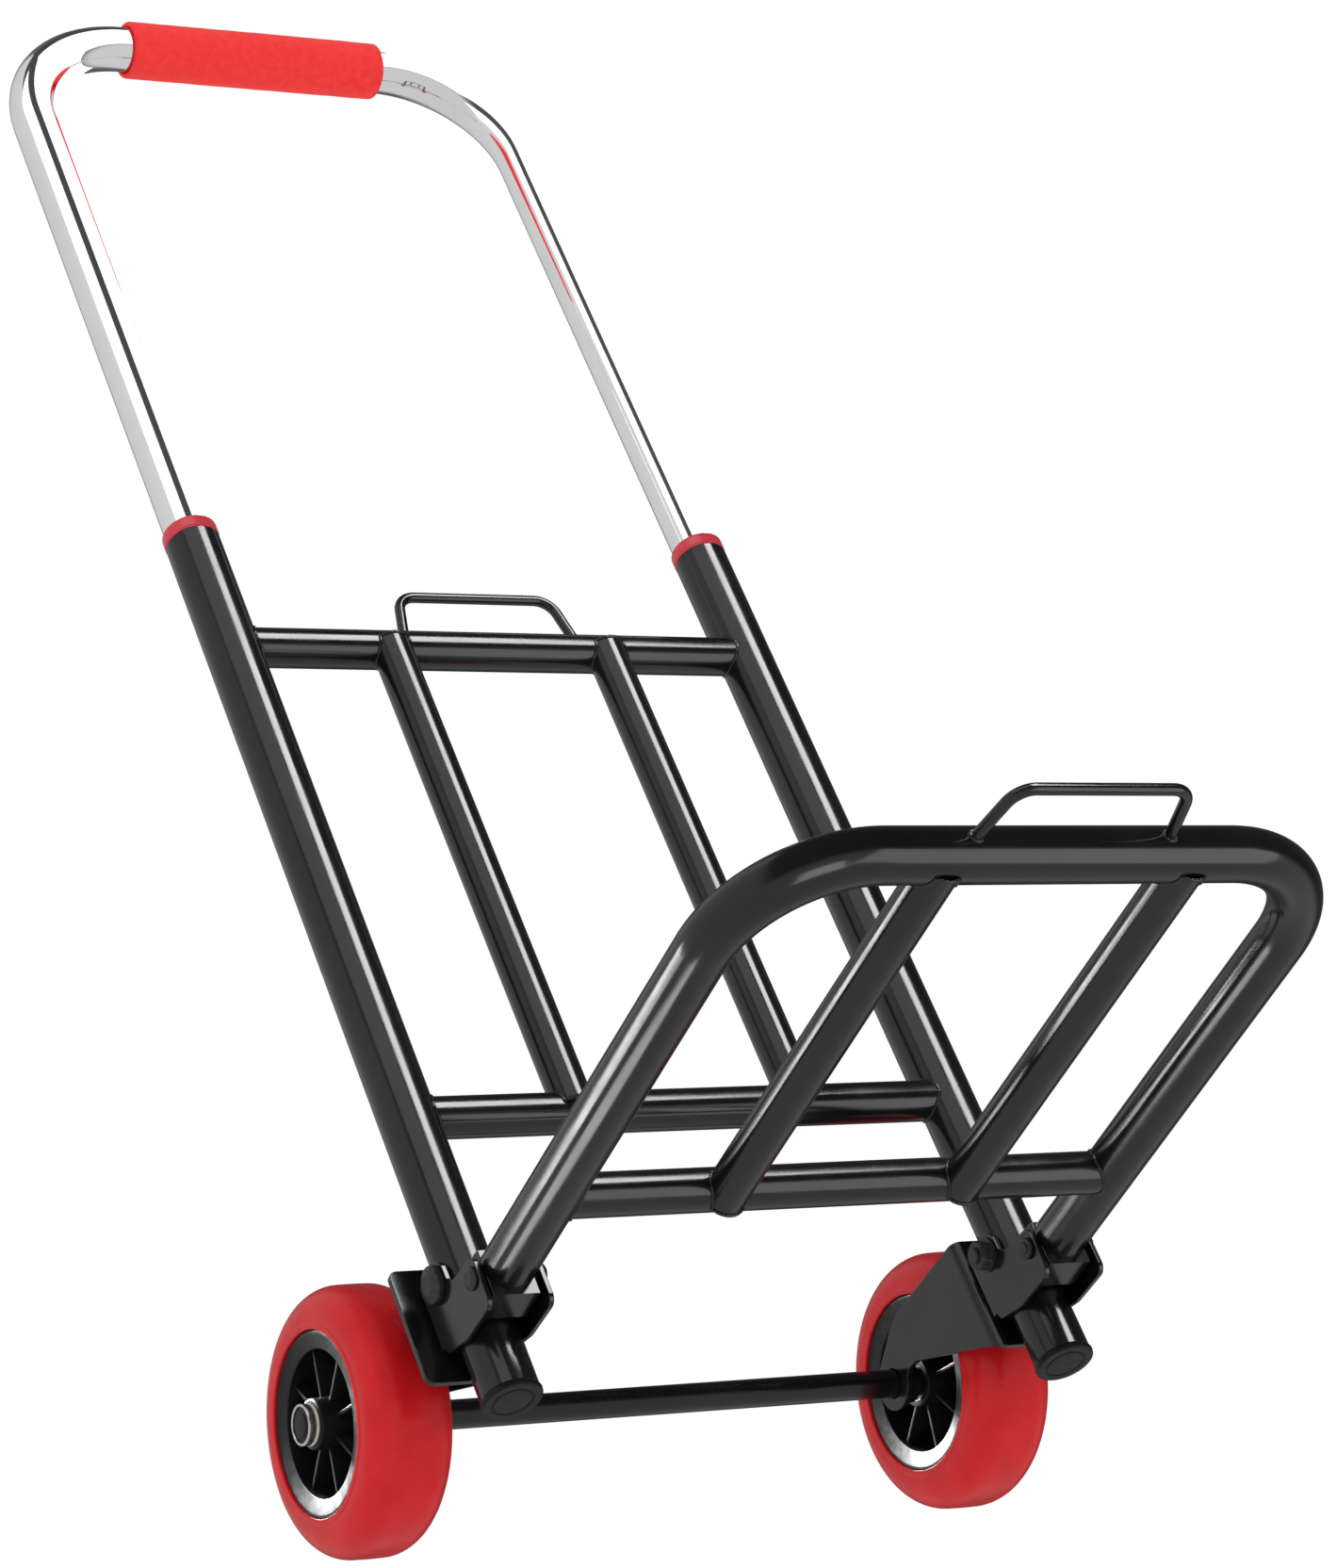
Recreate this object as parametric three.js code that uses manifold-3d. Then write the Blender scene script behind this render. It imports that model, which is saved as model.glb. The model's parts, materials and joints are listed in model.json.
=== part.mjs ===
// Folding hand truck with a telescopic handle, a fold-up tube platform and two wheels.
// Millimetres, +Z up. The truck faces -Y: the platform points forward, the wheels are behind.
// Heights are measured from the plane of the platform tubes, and the whole model is lifted
// at the end so that the foot caps and the wheels stand on z = 0.
import * as THREE from 'three';
import { mergeVertices } from 'three/addons/utils/BufferGeometryUtils.js';
import Module from 'manifold-3d';

const wasm = await Module();
wasm.setup();

// ---- driving dimensions ----

const gap = 0.3;              // clearance between pieces that touch
const track = 149;            // rails, handle legs and platform tubes, from the middle plane
const floorDrop = 48.5;       // floor below the plane of the platform tubes

const railRadius = 14;
const railBore = 13;
const railFootZ = -45.5;
const railTopZ = 474;
const collarTopZ = 482;
const capRadius = 15;
const capPlugLength = 22;

const barRadius = 10.2;       // crossbars and inner rails
const barWall = 1.3;
const upperBarZ = 403.9;
const lowerBarZ = 109.2;
const innerRailX = 62.3;
const innerRailY = -3.9;

const wireRadius = 2.75;
const wireBend = 11;
const loopFootX = 51;
const loopCornerX = 45;
const upperLoopZ = 441;

const chromeRadius = 12.5;
const chromeBore = 11;
const handleTopZ = 856;
const handleBend = 70;
const legEndZ = 320;
const gripHalf = 77;
const gripRadius = 16;

const buttonZ = 452;          // lock button height with the handle drawn out
const handleTravel = 290;
const buttonRadius = 3.6;
const buttonTipY = 12.3;

const platformRadius = 12.5;
const platformBore = 11.4;
const platformEndY = -34;
const platformFrontY = -317.7;
const platformBend = 60;
const platformBarY = -86.7;
const platformInnerX = 62.8;
const platformInnerZ = -4.3;
const platformLoopY = -360;

const pivotY = -30;
const pivotZ = -2;
const pinRadius = 3;
const eyeRadius = 12;
const eyeInner = 137;
const eyeOuter = 161;
const toeEndY = -14.5;

const sheet = 3;              // wheel bracket and hinge web
const cheekIn = 132.2;        // hinge clevis, outer faces of its two cheeks
const cheekOut = 165.8;
const cheekSheet = 2.5;
const webY = 14.3;
const boltZ = 16;
const boltRadius = 4;
const boltHeadRadius = 9;
const boltHeadLength = 4.7;
const rivetHeights = { lower: -4, upper: 6 };
const rivetRadius = 2.4;

const bracketX = 130.5;       // inner face of the wheel bracket
const bracketOut = 176;
const bracketY = webY + sheet + gap;

const axleY = 106;
const axleZ = 15;
const axleRadius = 7;
const axleHalf = 193.2;

const wheelRadius = 63.5;
const wheelX = 164.7;         // middle of each wheel
const wheelHalf = 22.6;
const shoulder = 14;
const rimRadius = 43.2;       // seat of the tyre
const rimHalf = 21.3;
const rimKeyHalf = 5;         // ring on the rim that keeps the tyre in place
const rimKeyHeight = 2;
const dishOuter = 42;         // dished flange on each side of the rim
const dishInner = 34.5;
const dishDepth = 1.8;
const webHalf = 1.6;
const bossIn = 150;
const bossOut = 189;
const bossRadius = 13;
const bossBore = 9;
const ribCount = 8;
const ribPhase = 18.4;        // degrees from +Y towards +Z
const ribThickness = 2.2;
const ribEdge = 17;           // outer edge of the ribs, from the middle of the wheel

const railSides = 20;         // facets round the rails and everything fitted to them
const barSides = 16;
const smallSides = 14;
const holeSides = 10;
const wheelSides = 24;
const wireSides = 8;

// ---- materials ----

function finish(color, roughness, metalness) {
  return new THREE.MeshStandardMaterial({ color, roughness, metalness });
}

const blackPaint = finish(0x1c1c1e, 0.25, 0.3);
const chrome = finish(0xe2e4e6, 0.08, 1);
const redFoam = finish(0xe63036, 0.7, 0);
const redPlastic = finish(0xc42f44, 0.35, 0);
const redTyre = finish(0xc42a2e, 0.35, 0);
const blackPlastic = finish(0x18181a, 0.45, 0);
const zinc = finish(0xb4b7ba, 0.35, 1);
const blackSteel = finish(0x3c3c3e, 0.4, 0.8);
const nylon = finish(0xd8d4c8, 0.5, 0);

// ---- solids and booleans ----

function toSolid(geometry) {
  const bare = geometry.clone();
  bare.deleteAttribute('normal');
  bare.deleteAttribute('uv');
  const merged = mergeVertices(bare, 1e-4);
  return new wasm.Manifold(new wasm.Mesh({
    numProp: 3,
    vertProperties: new Float32Array(merged.attributes.position.array),
    triVerts: new Uint32Array(merged.index.array),
  }));
}

function toGeometry(solid) {
  const mesh = solid.getMesh();
  const geometry = new THREE.BufferGeometry();
  geometry.setAttribute('position', new THREE.BufferAttribute(mesh.vertProperties.slice(), 3));
  geometry.setIndex(new THREE.BufferAttribute(mesh.triVerts.slice(), 1));
  geometry.computeVertexNormals();
  return geometry;
}

function cut(geometry, ...tools) {
  return toGeometry(tools.reduce((solid, tool) => solid.subtract(toSolid(tool)), toSolid(geometry)));
}

function join(geometry, ...others) {
  return toGeometry(others.reduce((solid, other) => solid.add(toSolid(other)), toSolid(geometry)));
}

// The same geometry on the other side of the middle plane.
function mirrored(geometry) {
  const copy = (geometry.index ? geometry : mergeVertices(geometry)).clone();
  copy.scale(-1, 1, 1);
  const index = copy.index;
  for (let i = 0; i < index.count; i += 3) {
    const first = index.getX(i);
    index.setX(i, index.getX(i + 2));
    index.setX(i + 2, first);
  }
  return copy;
}

// ---- shape helpers ----

// A profile of [radius, height] pairs turned round an axis through the origin. The pairs run
// anticlockwise with the radius to the right, so the faces point outwards.
function turned(profile, axis, sides = smallSides) {
  const points = profile.map(([radius, height]) => new THREE.Vector2(radius, height));
  const geometry = new THREE.LatheGeometry(points, sides);
  if (axis === 'z') geometry.rotateX(Math.PI / 2);
  if (axis === 'x') geometry.rotateZ(-Math.PI / 2);
  return geometry;
}

function bar(radius, from, to, axis, sides = smallSides) {
  return turned([[0, from], [radius, from], [radius, to], [0, to]], axis, sides);
}

// The cutter for a round hole, with clearance round the shaft that goes through it.
function hole(shaftRadius, from, to, axis) {
  return bar(shaftRadius + gap, from, to, axis, holeSides);
}

function ring(outer, inner, from, to, axis, sides = smallSides) {
  return turned([[inner, from], [outer, from], [outer, to], [inner, to], [inner, from]], axis, sides);
}

// A flat plate whose outline lies in the YZ plane, between two x values.
function sidePlate(outline, xFrom, xTo, curveSegments = 8) {
  const settings = { depth: xTo - xFrom, bevelEnabled: false, curveSegments };
  const geometry = new THREE.ExtrudeGeometry(outline, settings);
  const turn = new THREE.Matrix4().makeBasis(
    new THREE.Vector3(0, 1, 0),
    new THREE.Vector3(0, 0, 1),
    new THREE.Vector3(1, 0, 0),
  );
  geometry.applyMatrix4(turn);
  geometry.translate(xFrom, 0, 0);
  return geometry;
}

// A flat plate whose outline lies in the XZ plane, between two y values.
function backPlate(outline, yFrom, yTo) {
  const geometry = new THREE.ExtrudeGeometry(outline, { depth: yTo - yFrom, bevelEnabled: false });
  geometry.rotateX(Math.PI / 2);
  geometry.translate(0, yTo, 0);
  return geometry;
}

function polygon(points) {
  return new THREE.Shape(points.map(([u, v]) => new THREE.Vector2(u, v)));
}

// The stations of a path that runs straight between its corners and bends round each of them.
function bentStations(corners, bendRadius, stepsPerBend) {
  const stations = [];
  const addStation = (point, tangent) => stations.push({ point, tangent });
  const directions = corners.slice(1).map((corner, i) => corner.clone().sub(corners[i]).normalize());
  addStation(corners[0], directions[0]);
  for (let i = 1; i < corners.length - 1; i += 1) {
    const before = directions[i - 1];
    const after = directions[i];
    const turn = before.angleTo(after);
    const inward = after.clone().sub(before).normalize();
    const centre = corners[i].clone().addScaledVector(inward, bendRadius / Math.cos(turn / 2));
    const axis = before.clone().cross(after).normalize();
    const spoke = before.clone().cross(axis).multiplyScalar(bendRadius);
    for (let step = 0; step <= stepsPerBend; step += 1) {
      const angle = turn * step / stepsPerBend;
      const point = spoke.clone().applyAxisAngle(axis, angle).add(centre);
      addStation(point, before.clone().applyAxisAngle(axis, angle));
    }
  }
  addStation(corners[corners.length - 1], directions[directions.length - 1]);
  return stations;
}

// A curve that an extrusion follows station by station.
class StationPath extends THREE.Curve {
  constructor(stations) {
    super();
    this.stations = stations;
  }

  station(u) {
    return this.stations[Math.round(u * (this.stations.length - 1))];
  }

  getPoint(u, target = new THREE.Vector3()) {
    return target.copy(this.station(u).point);
  }

  getPointAt(u, target) {
    return this.getPoint(u, target);
  }

  getTangentAt(u, target = new THREE.Vector3()) {
    return target.copy(this.station(u).tangent);
  }
}

function circlePath(path, radius, sides) {
  const points = [];
  for (let i = 0; i < sides; i += 1) {
    const angle = 2 * Math.PI * i / sides;
    points.push(new THREE.Vector2(radius * Math.cos(angle), radius * Math.sin(angle)));
  }
  return path.setFromPoints(points);
}

// A round tube, or a solid wire when bore is 0, bent along a cornered path.
function bentTube(corners, bendRadius, radius, bore, sides, stepsPerBend) {
  const stations = bentStations(corners, bendRadius, stepsPerBend);
  const section = circlePath(new THREE.Shape(), radius, sides);
  if (bore > 0) section.holes.push(circlePath(new THREE.Path(), bore, sides));
  return new THREE.ExtrudeGeometry(section, {
    steps: stations.length - 1,
    extrudePath: new StationPath(stations),
  });
}

// ---- the model ----

const truck = new THREE.Group();

function add(name, geometry, material) {
  const mesh = new THREE.Mesh(geometry, material);
  mesh.name = name;
  truck.add(mesh);
}

// Adds the right-hand piece as built and the left-hand one as its mirror image.
function addPair(name, geometry, material) {
  add(`right_${name}`, geometry, material);
  add(`left_${name}`, mirrored(geometry), material);
}

function addRails() {
  const boltHole = hole(boltRadius, track - railRadius - 1, track + railRadius + 1, 'x');
  boltHole.translate(0, 0, boltZ);
  const holes = [boltHole];
  for (const z of [buttonZ, buttonZ - handleTravel]) {
    holes.push(hole(buttonRadius + gap, railBore - 3, railRadius + 1, 'y').translate(track, 0, z));
  }
  for (const z of Object.values(rivetHeights)) {
    holes.push(hole(rivetRadius, railBore - 3, railRadius + 1, 'y').translate(track, 0, z));
  }
  const tube = ring(railRadius, railBore, railFootZ, railTopZ, 'z', railSides).translate(track, 0, 0);
  addPair('rail', cut(tube, ...holes), blackPaint);

  const rounding = 1.2;
  const collar = turned([
    [railBore - 0.1, railTopZ + gap],
    [railRadius, railTopZ + gap],
    [railRadius, collarTopZ - rounding],
    [railRadius - rounding, collarTopZ],
    [railBore - 0.1, collarTopZ],
    [railBore - 0.1, railTopZ + gap],
  ], 'z', railSides);
  addPair('rail_collar', collar.translate(track, 0, 0), redPlastic);

  const capTop = railFootZ - gap;
  const plugRadius = railBore - gap;
  const cap = turned([
    [0, -floorDrop],
    [capRadius - 1.5, -floorDrop],
    [capRadius, -floorDrop + 1.5],
    [capRadius, capTop],
    [plugRadius, capTop],
    [plugRadius, capTop + capPlugLength - 3],
    [plugRadius - 2, capTop + capPlugLength],
    [0, capTop + capPlugLength],
  ], 'z', railSides);
  addPair('foot_cap', cap.translate(track, 0, 0), blackPlastic);
}

// The room that a bar's shaped end leaves for a rail.
function railShape(x) {
  return bar(railRadius + gap, railFootZ, railTopZ, 'z', railSides).translate(x, 0, 0);
}

// Two crossbars between the rails, and two inner rails between the crossbars.
function addLadder() {
  const bore = barRadius - barWall;
  const heights = { upper: upperBarZ, lower: lowerBarZ };
  for (const [name, z] of Object.entries(heights)) {
    const tube = ring(barRadius, bore, -track, track, 'x', barSides).translate(0, 0, z);
    add(`${name}_crossbar`, cut(tube, railShape(track), railShape(-track)), blackPaint);
  }
  const shapes = Object.values(heights).map(
    (z) => bar(barRadius + gap, -track, track, 'x', barSides).translate(0, 0, z),
  );
  const tube = ring(barRadius, bore, lowerBarZ, upperBarZ, 'z', barSides);
  tube.translate(innerRailX, innerRailY, 0);
  addPair('inner_rail', cut(tube, ...shapes), blackPaint);
}

// A wire loop that stands on a tube along X. The corners lie in the plane of the loop.
function wireLoop(footPoint, topPoint) {
  const corners = [
    new THREE.Vector3(-loopFootX, footPoint.y, footPoint.z),
    new THREE.Vector3(-loopCornerX, topPoint.y, topPoint.z),
    new THREE.Vector3(loopCornerX, topPoint.y, topPoint.z),
    new THREE.Vector3(loopFootX, footPoint.y, footPoint.z),
  ];
  return bentTube(corners, wireBend, wireRadius, 0, wireSides, 4);
}

function addUpperLoop() {
  const wire = wireLoop(new THREE.Vector3(0, 0, upperBarZ + 4), new THREE.Vector3(0, 0, upperLoopZ));
  const seat = bar(barRadius + gap, -track, track, 'x', barSides).translate(0, 0, upperBarZ);
  add('upper_loop', cut(wire, seat), blackPaint);
}

// The side view of a hinge cheek: a long nose round the platform pivot and a boss round the bolt.
function cheekOutline() {
  const backY = webY + sheet;
  const boltBoss = 10;
  const outline = new THREE.Shape();
  outline.moveTo(backY, -10);
  outline.lineTo(backY, 24);
  outline.lineTo(7, 24);
  outline.absarc(0, boltZ, boltBoss, Math.PI * 0.3, Math.PI * 0.95, false);
  outline.lineTo(-14, 8);
  outline.lineTo(-32, 6);
  outline.absarc(-32, 2, 4, Math.PI / 2, Math.PI, false);
  outline.lineTo(-36, -16.5);
  outline.absarc(-32, -16.5, 4, Math.PI, Math.PI * 1.5, false);
  outline.lineTo(-9, -19.5);
  outline.lineTo(9, -14.5);
  outline.closePath();
  return outline;
}

function addHinges() {
  const outline = cheekOutline();
  const inner = sidePlate(outline, cheekIn, cheekIn + cheekSheet, 5);
  const outer = sidePlate(outline, cheekOut - cheekSheet, cheekOut, 5);
  const webOutline = polygon([[cheekIn, -10], [cheekOut, -10], [cheekOut, 24], [cheekIn, 24]]);
  const web = backPlate(webOutline, webY, webY + sheet);
  const boltHole = hole(boltRadius, cheekIn - 1, cheekOut + 1, 'x').translate(0, 0, boltZ);
  const pinHole = hole(pinRadius, cheekIn - 1, cheekOut + 1, 'x').translate(0, pivotY, pivotZ);
  const rivetHoles = Object.values(rivetHeights).map(
    (z) => hole(rivetRadius, webY - 1, webY + sheet + 1, 'y').translate(track, 0, z),
  );
  addPair('hinge_clevis', cut(join(web, inner, outer), boltHole, pinHole, ...rivetHoles), blackPaint);

  const headFrom = cheekOut + gap;
  const headTo = headFrom + boltHeadLength;
  const nutFrom = cheekIn - gap - 6.3;
  const boltEnd = nutFrom - 2;
  const bolt = turned([
    [0, boltEnd],
    [boltRadius - 1, boltEnd],
    [boltRadius, boltEnd + 1],
    [boltRadius, headFrom],
    [boltHeadRadius, headFrom],
    [boltHeadRadius, headTo - 2.4],
    [boltHeadRadius - 2.6, headTo - 0.6],
    [0, headTo],
  ], 'x');
  addPair('clevis_bolt', bolt.translate(0, 0, boltZ), blackSteel);
  const nut = cut(bar(7.5, nutFrom, cheekIn - gap, 'x', 6), hole(boltRadius, nutFrom - 1, cheekIn, 'x'));
  addPair('clevis_nut', nut.translate(0, 0, boltZ), blackSteel);

  const clipFrom = cheekIn - gap - 1.8;
  const pin = turned([
    [0, clipFrom - 0.8],
    [pinRadius, clipFrom - 0.8],
    [pinRadius, headFrom],
    [5.5, headFrom],
    [5.5, headFrom + 0.9],
    [4, headFrom + 1.9],
    [0, headFrom + 1.9],
  ], 'x');
  addPair('pivot_pin', pin.translate(0, pivotY, pivotZ), blackSteel);
  const clip = ring(5.2, pinRadius + 0.2, clipFrom, cheekIn - gap, 'x');
  addPair('pivot_clip', clip.translate(0, pivotY, pivotZ), blackSteel);
}

// The side view of the bracket arm, from the fold behind the rail to the lobe round the axle.
function armOutline() {
  const lobe = 13;
  const outline = new THREE.Shape();
  outline.moveTo(bracketY, -24);
  outline.lineTo(bracketY + 3, -20);
  outline.lineTo(25, -17);
  outline.lineTo(88, 16);
  outline.absarc(axleY, axleZ, lobe, Math.PI * 1.05, Math.PI * 2.35, false);
  outline.lineTo(90, 38);
  outline.lineTo(84, 39);
  outline.lineTo(bracketY, 37);
  outline.closePath();
  return outline;
}

function addWheelBrackets() {
  const arm = sidePlate(armOutline(), bracketX, bracketX + sheet, 14);
  const web = backPlate(polygon([
    [bracketX, -24],
    [bracketOut, -24],
    [bracketOut, 36.6],
    [bracketX + 6, 36.6],
    [bracketX, 31],
  ]), bracketY, bracketY + sheet);
  const axleHole = bar(axleRadius + gap, bracketX - 1, bracketX + sheet + 1, 'x');
  axleHole.translate(0, axleY, axleZ);
  const rivetHoles = Object.values(rivetHeights).map(
    (z) => hole(rivetRadius, bracketY - 1, bracketY + sheet + 1, 'y').translate(track, 0, z),
  );
  addPair('wheel_bracket', cut(join(arm, web), axleHole, ...rivetHoles), blackPaint);

  const headFrom = bracketY + sheet + gap;
  const tailTo = railBore - 3.4;
  for (const [name, z] of Object.entries(rivetHeights)) {
    const rivet = turned([
      [0, tailTo],
      [rivetRadius, tailTo],
      [rivetRadius, headFrom],
      [4.4, headFrom],
      [3.8, headFrom + 1.6],
      [0, headFrom + 2.2],
    ], 'y');
    addPair(`${name}_rivet`, rivet.translate(track, 0, z), zinc);
  }
}

function addAxle() {
  const chamfer = 1;
  const rod = turned([
    [0, -axleHalf],
    [axleRadius - chamfer, -axleHalf],
    [axleRadius, -axleHalf + chamfer],
    [axleRadius, axleHalf - chamfer],
    [axleRadius - chamfer, axleHalf],
    [0, axleHalf],
  ], 'x');
  add('axle', rod.translate(0, axleY, axleZ), blackPaint);

  const bore = axleRadius + gap;
  const collar = ring(10, bore, bracketX + sheet + gap, bracketX + sheet + 7.5, 'x');
  addPair('axle_collar', collar.translate(0, axleY, axleZ), blackPaint);
  const innerWasher = ring(11, bore, bossIn - 4.3, bossIn - 2, 'x');
  addPair('inner_washer', innerWasher.translate(0, axleY, axleZ), zinc);
  const outerWasher = ring(9.9, bore, bossOut + 2, bossOut + 3, 'x');
  addPair('outer_washer', outerWasher.translate(0, axleY, axleZ), zinc);
  const capFrom = bossOut + 3 + gap;
  const cap = turned([
    [bore, capFrom],
    [8.4, capFrom],
    [8.4, capFrom + 1.2],
    [6.6, capFrom + 2.4],
    [0, capFrom + 2.6],
    [0, axleHalf + gap],
    [bore, axleHalf + gap],
    [bore, capFrom],
  ], 'x');
  addPair('axle_cap', cap.translate(0, axleY, axleZ), blackPlastic);
}

// The tyre's section: flat tread, round shoulders and a groove that takes the rim's key.
function tyreProfile() {
  const seat = rimRadius + gap;
  const grooveHalf = rimKeyHalf + gap;
  const profile = [[seat, -wheelHalf], [wheelRadius - shoulder, -wheelHalf]];
  const steps = 3;
  for (const side of [-1, 1]) {
    for (let i = 0; i <= steps; i += 1) {
      const angle = (side < 0 ? i - steps : i) * Math.PI / 2 / steps;
      if (side < 0 && i === 0) continue;
      if (side > 0 && i === steps) continue;
      profile.push([
        wheelRadius - shoulder + shoulder * Math.cos(angle),
        side * (wheelHalf - shoulder) + shoulder * Math.sin(angle),
      ]);
    }
  }
  profile.push(
    [wheelRadius - shoulder, wheelHalf],
    [seat, wheelHalf],
    [seat, grooveHalf],
    [seat + rimKeyHeight, grooveHalf],
    [seat + rimKeyHeight, -grooveHalf],
    [seat, -grooveHalf],
    [seat, -wheelHalf],
  );
  return profile;
}

// One radial plate through the wheel, which stands out of the web as a rib on both sides.
function hubRib(angle) {
  const inner = bossBore + 2;
  const outer = dishInner + 1;
  const rib = new THREE.BoxGeometry(2 * ribEdge, outer - inner, ribThickness);
  rib.translate(0, (inner + outer) / 2, 0);
  rib.rotateX(THREE.MathUtils.degToRad(angle));
  return rib;
}

function hubCore() {
  const dishEdge = rimHalf - dishDepth;
  const rim = turned([
    [dishInner, -dishEdge],
    [dishOuter, -rimHalf],
    [rimRadius, -rimHalf],
    [rimRadius, -rimKeyHalf],
    [rimRadius + rimKeyHeight, -rimKeyHalf],
    [rimRadius + rimKeyHeight, rimKeyHalf],
    [rimRadius, rimKeyHalf],
    [rimRadius, rimHalf],
    [dishOuter, rimHalf],
    [dishInner, dishEdge],
    [dishInner, -dishEdge],
  ], 'x', wheelSides);
  const from = bossIn - wheelX;
  const to = bossOut - wheelX;
  const boss = turned([
    [0, from],
    [bossRadius, from],
    [bossRadius, to - 6],
    [bossRadius - 2, to],
    [0, to],
  ], 'x', railSides);
  const web = bar(dishInner + 1, -webHalf, webHalf, 'x', wheelSides);
  const ribs = Array.from({ length: ribCount }, (_, i) => hubRib(ribPhase + i * 360 / ribCount));
  const bore = bar(bossBore, from - 20, to + 1, 'x', railSides);
  return cut(join(boss, rim, web, ...ribs), bore);
}

function bush(flangeRadius) {
  const flange = 1.4;
  const length = 12;
  return turned([
    [axleRadius + gap, -flange],
    [flangeRadius, -flange],
    [flangeRadius, -gap],
    [bossBore - gap, -gap],
    [bossBore - gap, length],
    [axleRadius + gap, length],
    [axleRadius + gap, -flange],
  ], 'x');
}

function addWheels() {
  const tyre = turned(tyreProfile(), 'x', wheelSides).translate(wheelX, axleY, axleZ);
  addPair('tyre', tyre, redTyre);
  addPair('wheel_core', hubCore().translate(wheelX, axleY, axleZ), blackPlastic);
  const innerBush = bush(11).translate(bossIn, axleY, axleZ);
  addPair('inner_bush', innerBush, nylon);
  const outerBush = mirrored(bush(10)).translate(bossOut, axleY, axleZ);
  addPair('outer_bush', outerBush, nylon);
}

function addHandle() {
  const corners = [
    new THREE.Vector3(-track, 0, legEndZ),
    new THREE.Vector3(-track, 0, handleTopZ),
    new THREE.Vector3(track, 0, handleTopZ),
    new THREE.Vector3(track, 0, legEndZ),
  ];
  const tube = bentTube(corners, handleBend, chromeRadius, chromeBore, barSides, 5);
  const holes = [-track, track].map(
    (x) => hole(buttonRadius, chromeBore - 3, chromeRadius + 1, 'y').translate(x, 0, buttonZ),
  );
  add('handle_tube', cut(tube, ...holes), chrome);

  const gripBore = chromeRadius + gap;
  const rounding = 2;
  const grip = turned([
    [gripBore, -gripHalf],
    [gripRadius - rounding, -gripHalf],
    [gripRadius - 0.6, -gripHalf + 0.6],
    [gripRadius, -gripHalf + rounding],
    [gripRadius, gripHalf - rounding],
    [gripRadius - 0.6, gripHalf - 0.6],
    [gripRadius - rounding, gripHalf],
    [gripBore, gripHalf],
    [gripBore, -gripHalf],
  ], 'x', barSides);
  add('handle_grip', grip.translate(0, 0, handleTopZ), redFoam);

  const plug = turned([
    [0, legEndZ - 4.7],
    [chromeRadius - 1, legEndZ - 4.7],
    [chromeRadius - 0.1, legEndZ - 3.7],
    [chromeRadius - 0.1, legEndZ - gap],
    [chromeBore - gap, legEndZ - gap],
    [chromeBore - gap, legEndZ + 25],
    [0, legEndZ + 25],
  ], 'z', barSides);
  addPair('leg_plug', plug.translate(track, 0, 0), blackPlastic);
}

// A sprung button in each handle leg. It is drawn pushed in, level with the chrome, and springs
// out through the hole in the back of the rail.
function addLocks() {
  const flangeBack = 3;
  const flangeFront = 4.6;
  const button = turned([
    [0, flangeBack],
    [5, flangeBack],
    [5, flangeFront],
    [buttonRadius, flangeFront],
    [buttonRadius, buttonTipY - 1],
    [buttonRadius - 1, buttonTipY],
    [0, buttonTipY],
  ], 'y');
  addPair('lock_button', button.translate(track, 0, buttonZ), zinc);

  const halfWidth = 3;
  const leaf = sidePlate(polygon([
    [-10.2, buttonZ - 29],
    [-8.6, buttonZ - 29],
    [2.5, buttonZ + 3.5],
    [1.6, buttonZ + 4],
    [-9.4, buttonZ - 26],
    [-9.4, buttonZ + 6],
    [-10.2, buttonZ + 6],
  ]), track - halfWidth, track + halfWidth);
  addPair('button_spring', leaf, zinc);
}

function addPlatform() {
  const corners = [
    new THREE.Vector3(-track, platformEndY, 0),
    new THREE.Vector3(-track, platformFrontY, 0),
    new THREE.Vector3(track, platformFrontY, 0),
    new THREE.Vector3(track, platformEndY, 0),
  ];
  const tube = bentTube(corners, platformBend, platformRadius, platformBore, barSides, 5);
  add('platform_frame', tube, blackPaint);

  const sideShape = (x) => {
    const shape = bar(platformRadius + gap, platformFrontY, platformEndY, 'y', barSides);
    return shape.translate(x, 0, 0);
  };
  const bore = barRadius - barWall;
  const crossTube = ring(barRadius, bore, -track, track, 'x', barSides);
  crossTube.translate(0, platformBarY, 0);
  add('platform_crossbar', cut(crossTube, sideShape(track), sideShape(-track)), blackPaint);

  const barShape = bar(barRadius + gap, -track, track, 'x', barSides).translate(0, platformBarY, 0);
  const frontShape = bar(platformRadius + gap, -track, track, 'x', barSides);
  frontShape.translate(0, platformFrontY, 0);
  const innerTube = ring(barRadius, bore, platformFrontY, platformBarY, 'y', barSides);
  innerTube.translate(platformInnerX, 0, platformInnerZ);
  addPair('platform_rail', cut(innerTube, barShape, frontShape), blackPaint);

  const wire = wireLoop(
    new THREE.Vector3(0, platformFrontY - 6, 0),
    new THREE.Vector3(0, platformLoopY, 0),
  );
  add('platform_loop', cut(wire, frontShape), blackPaint);
}

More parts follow.
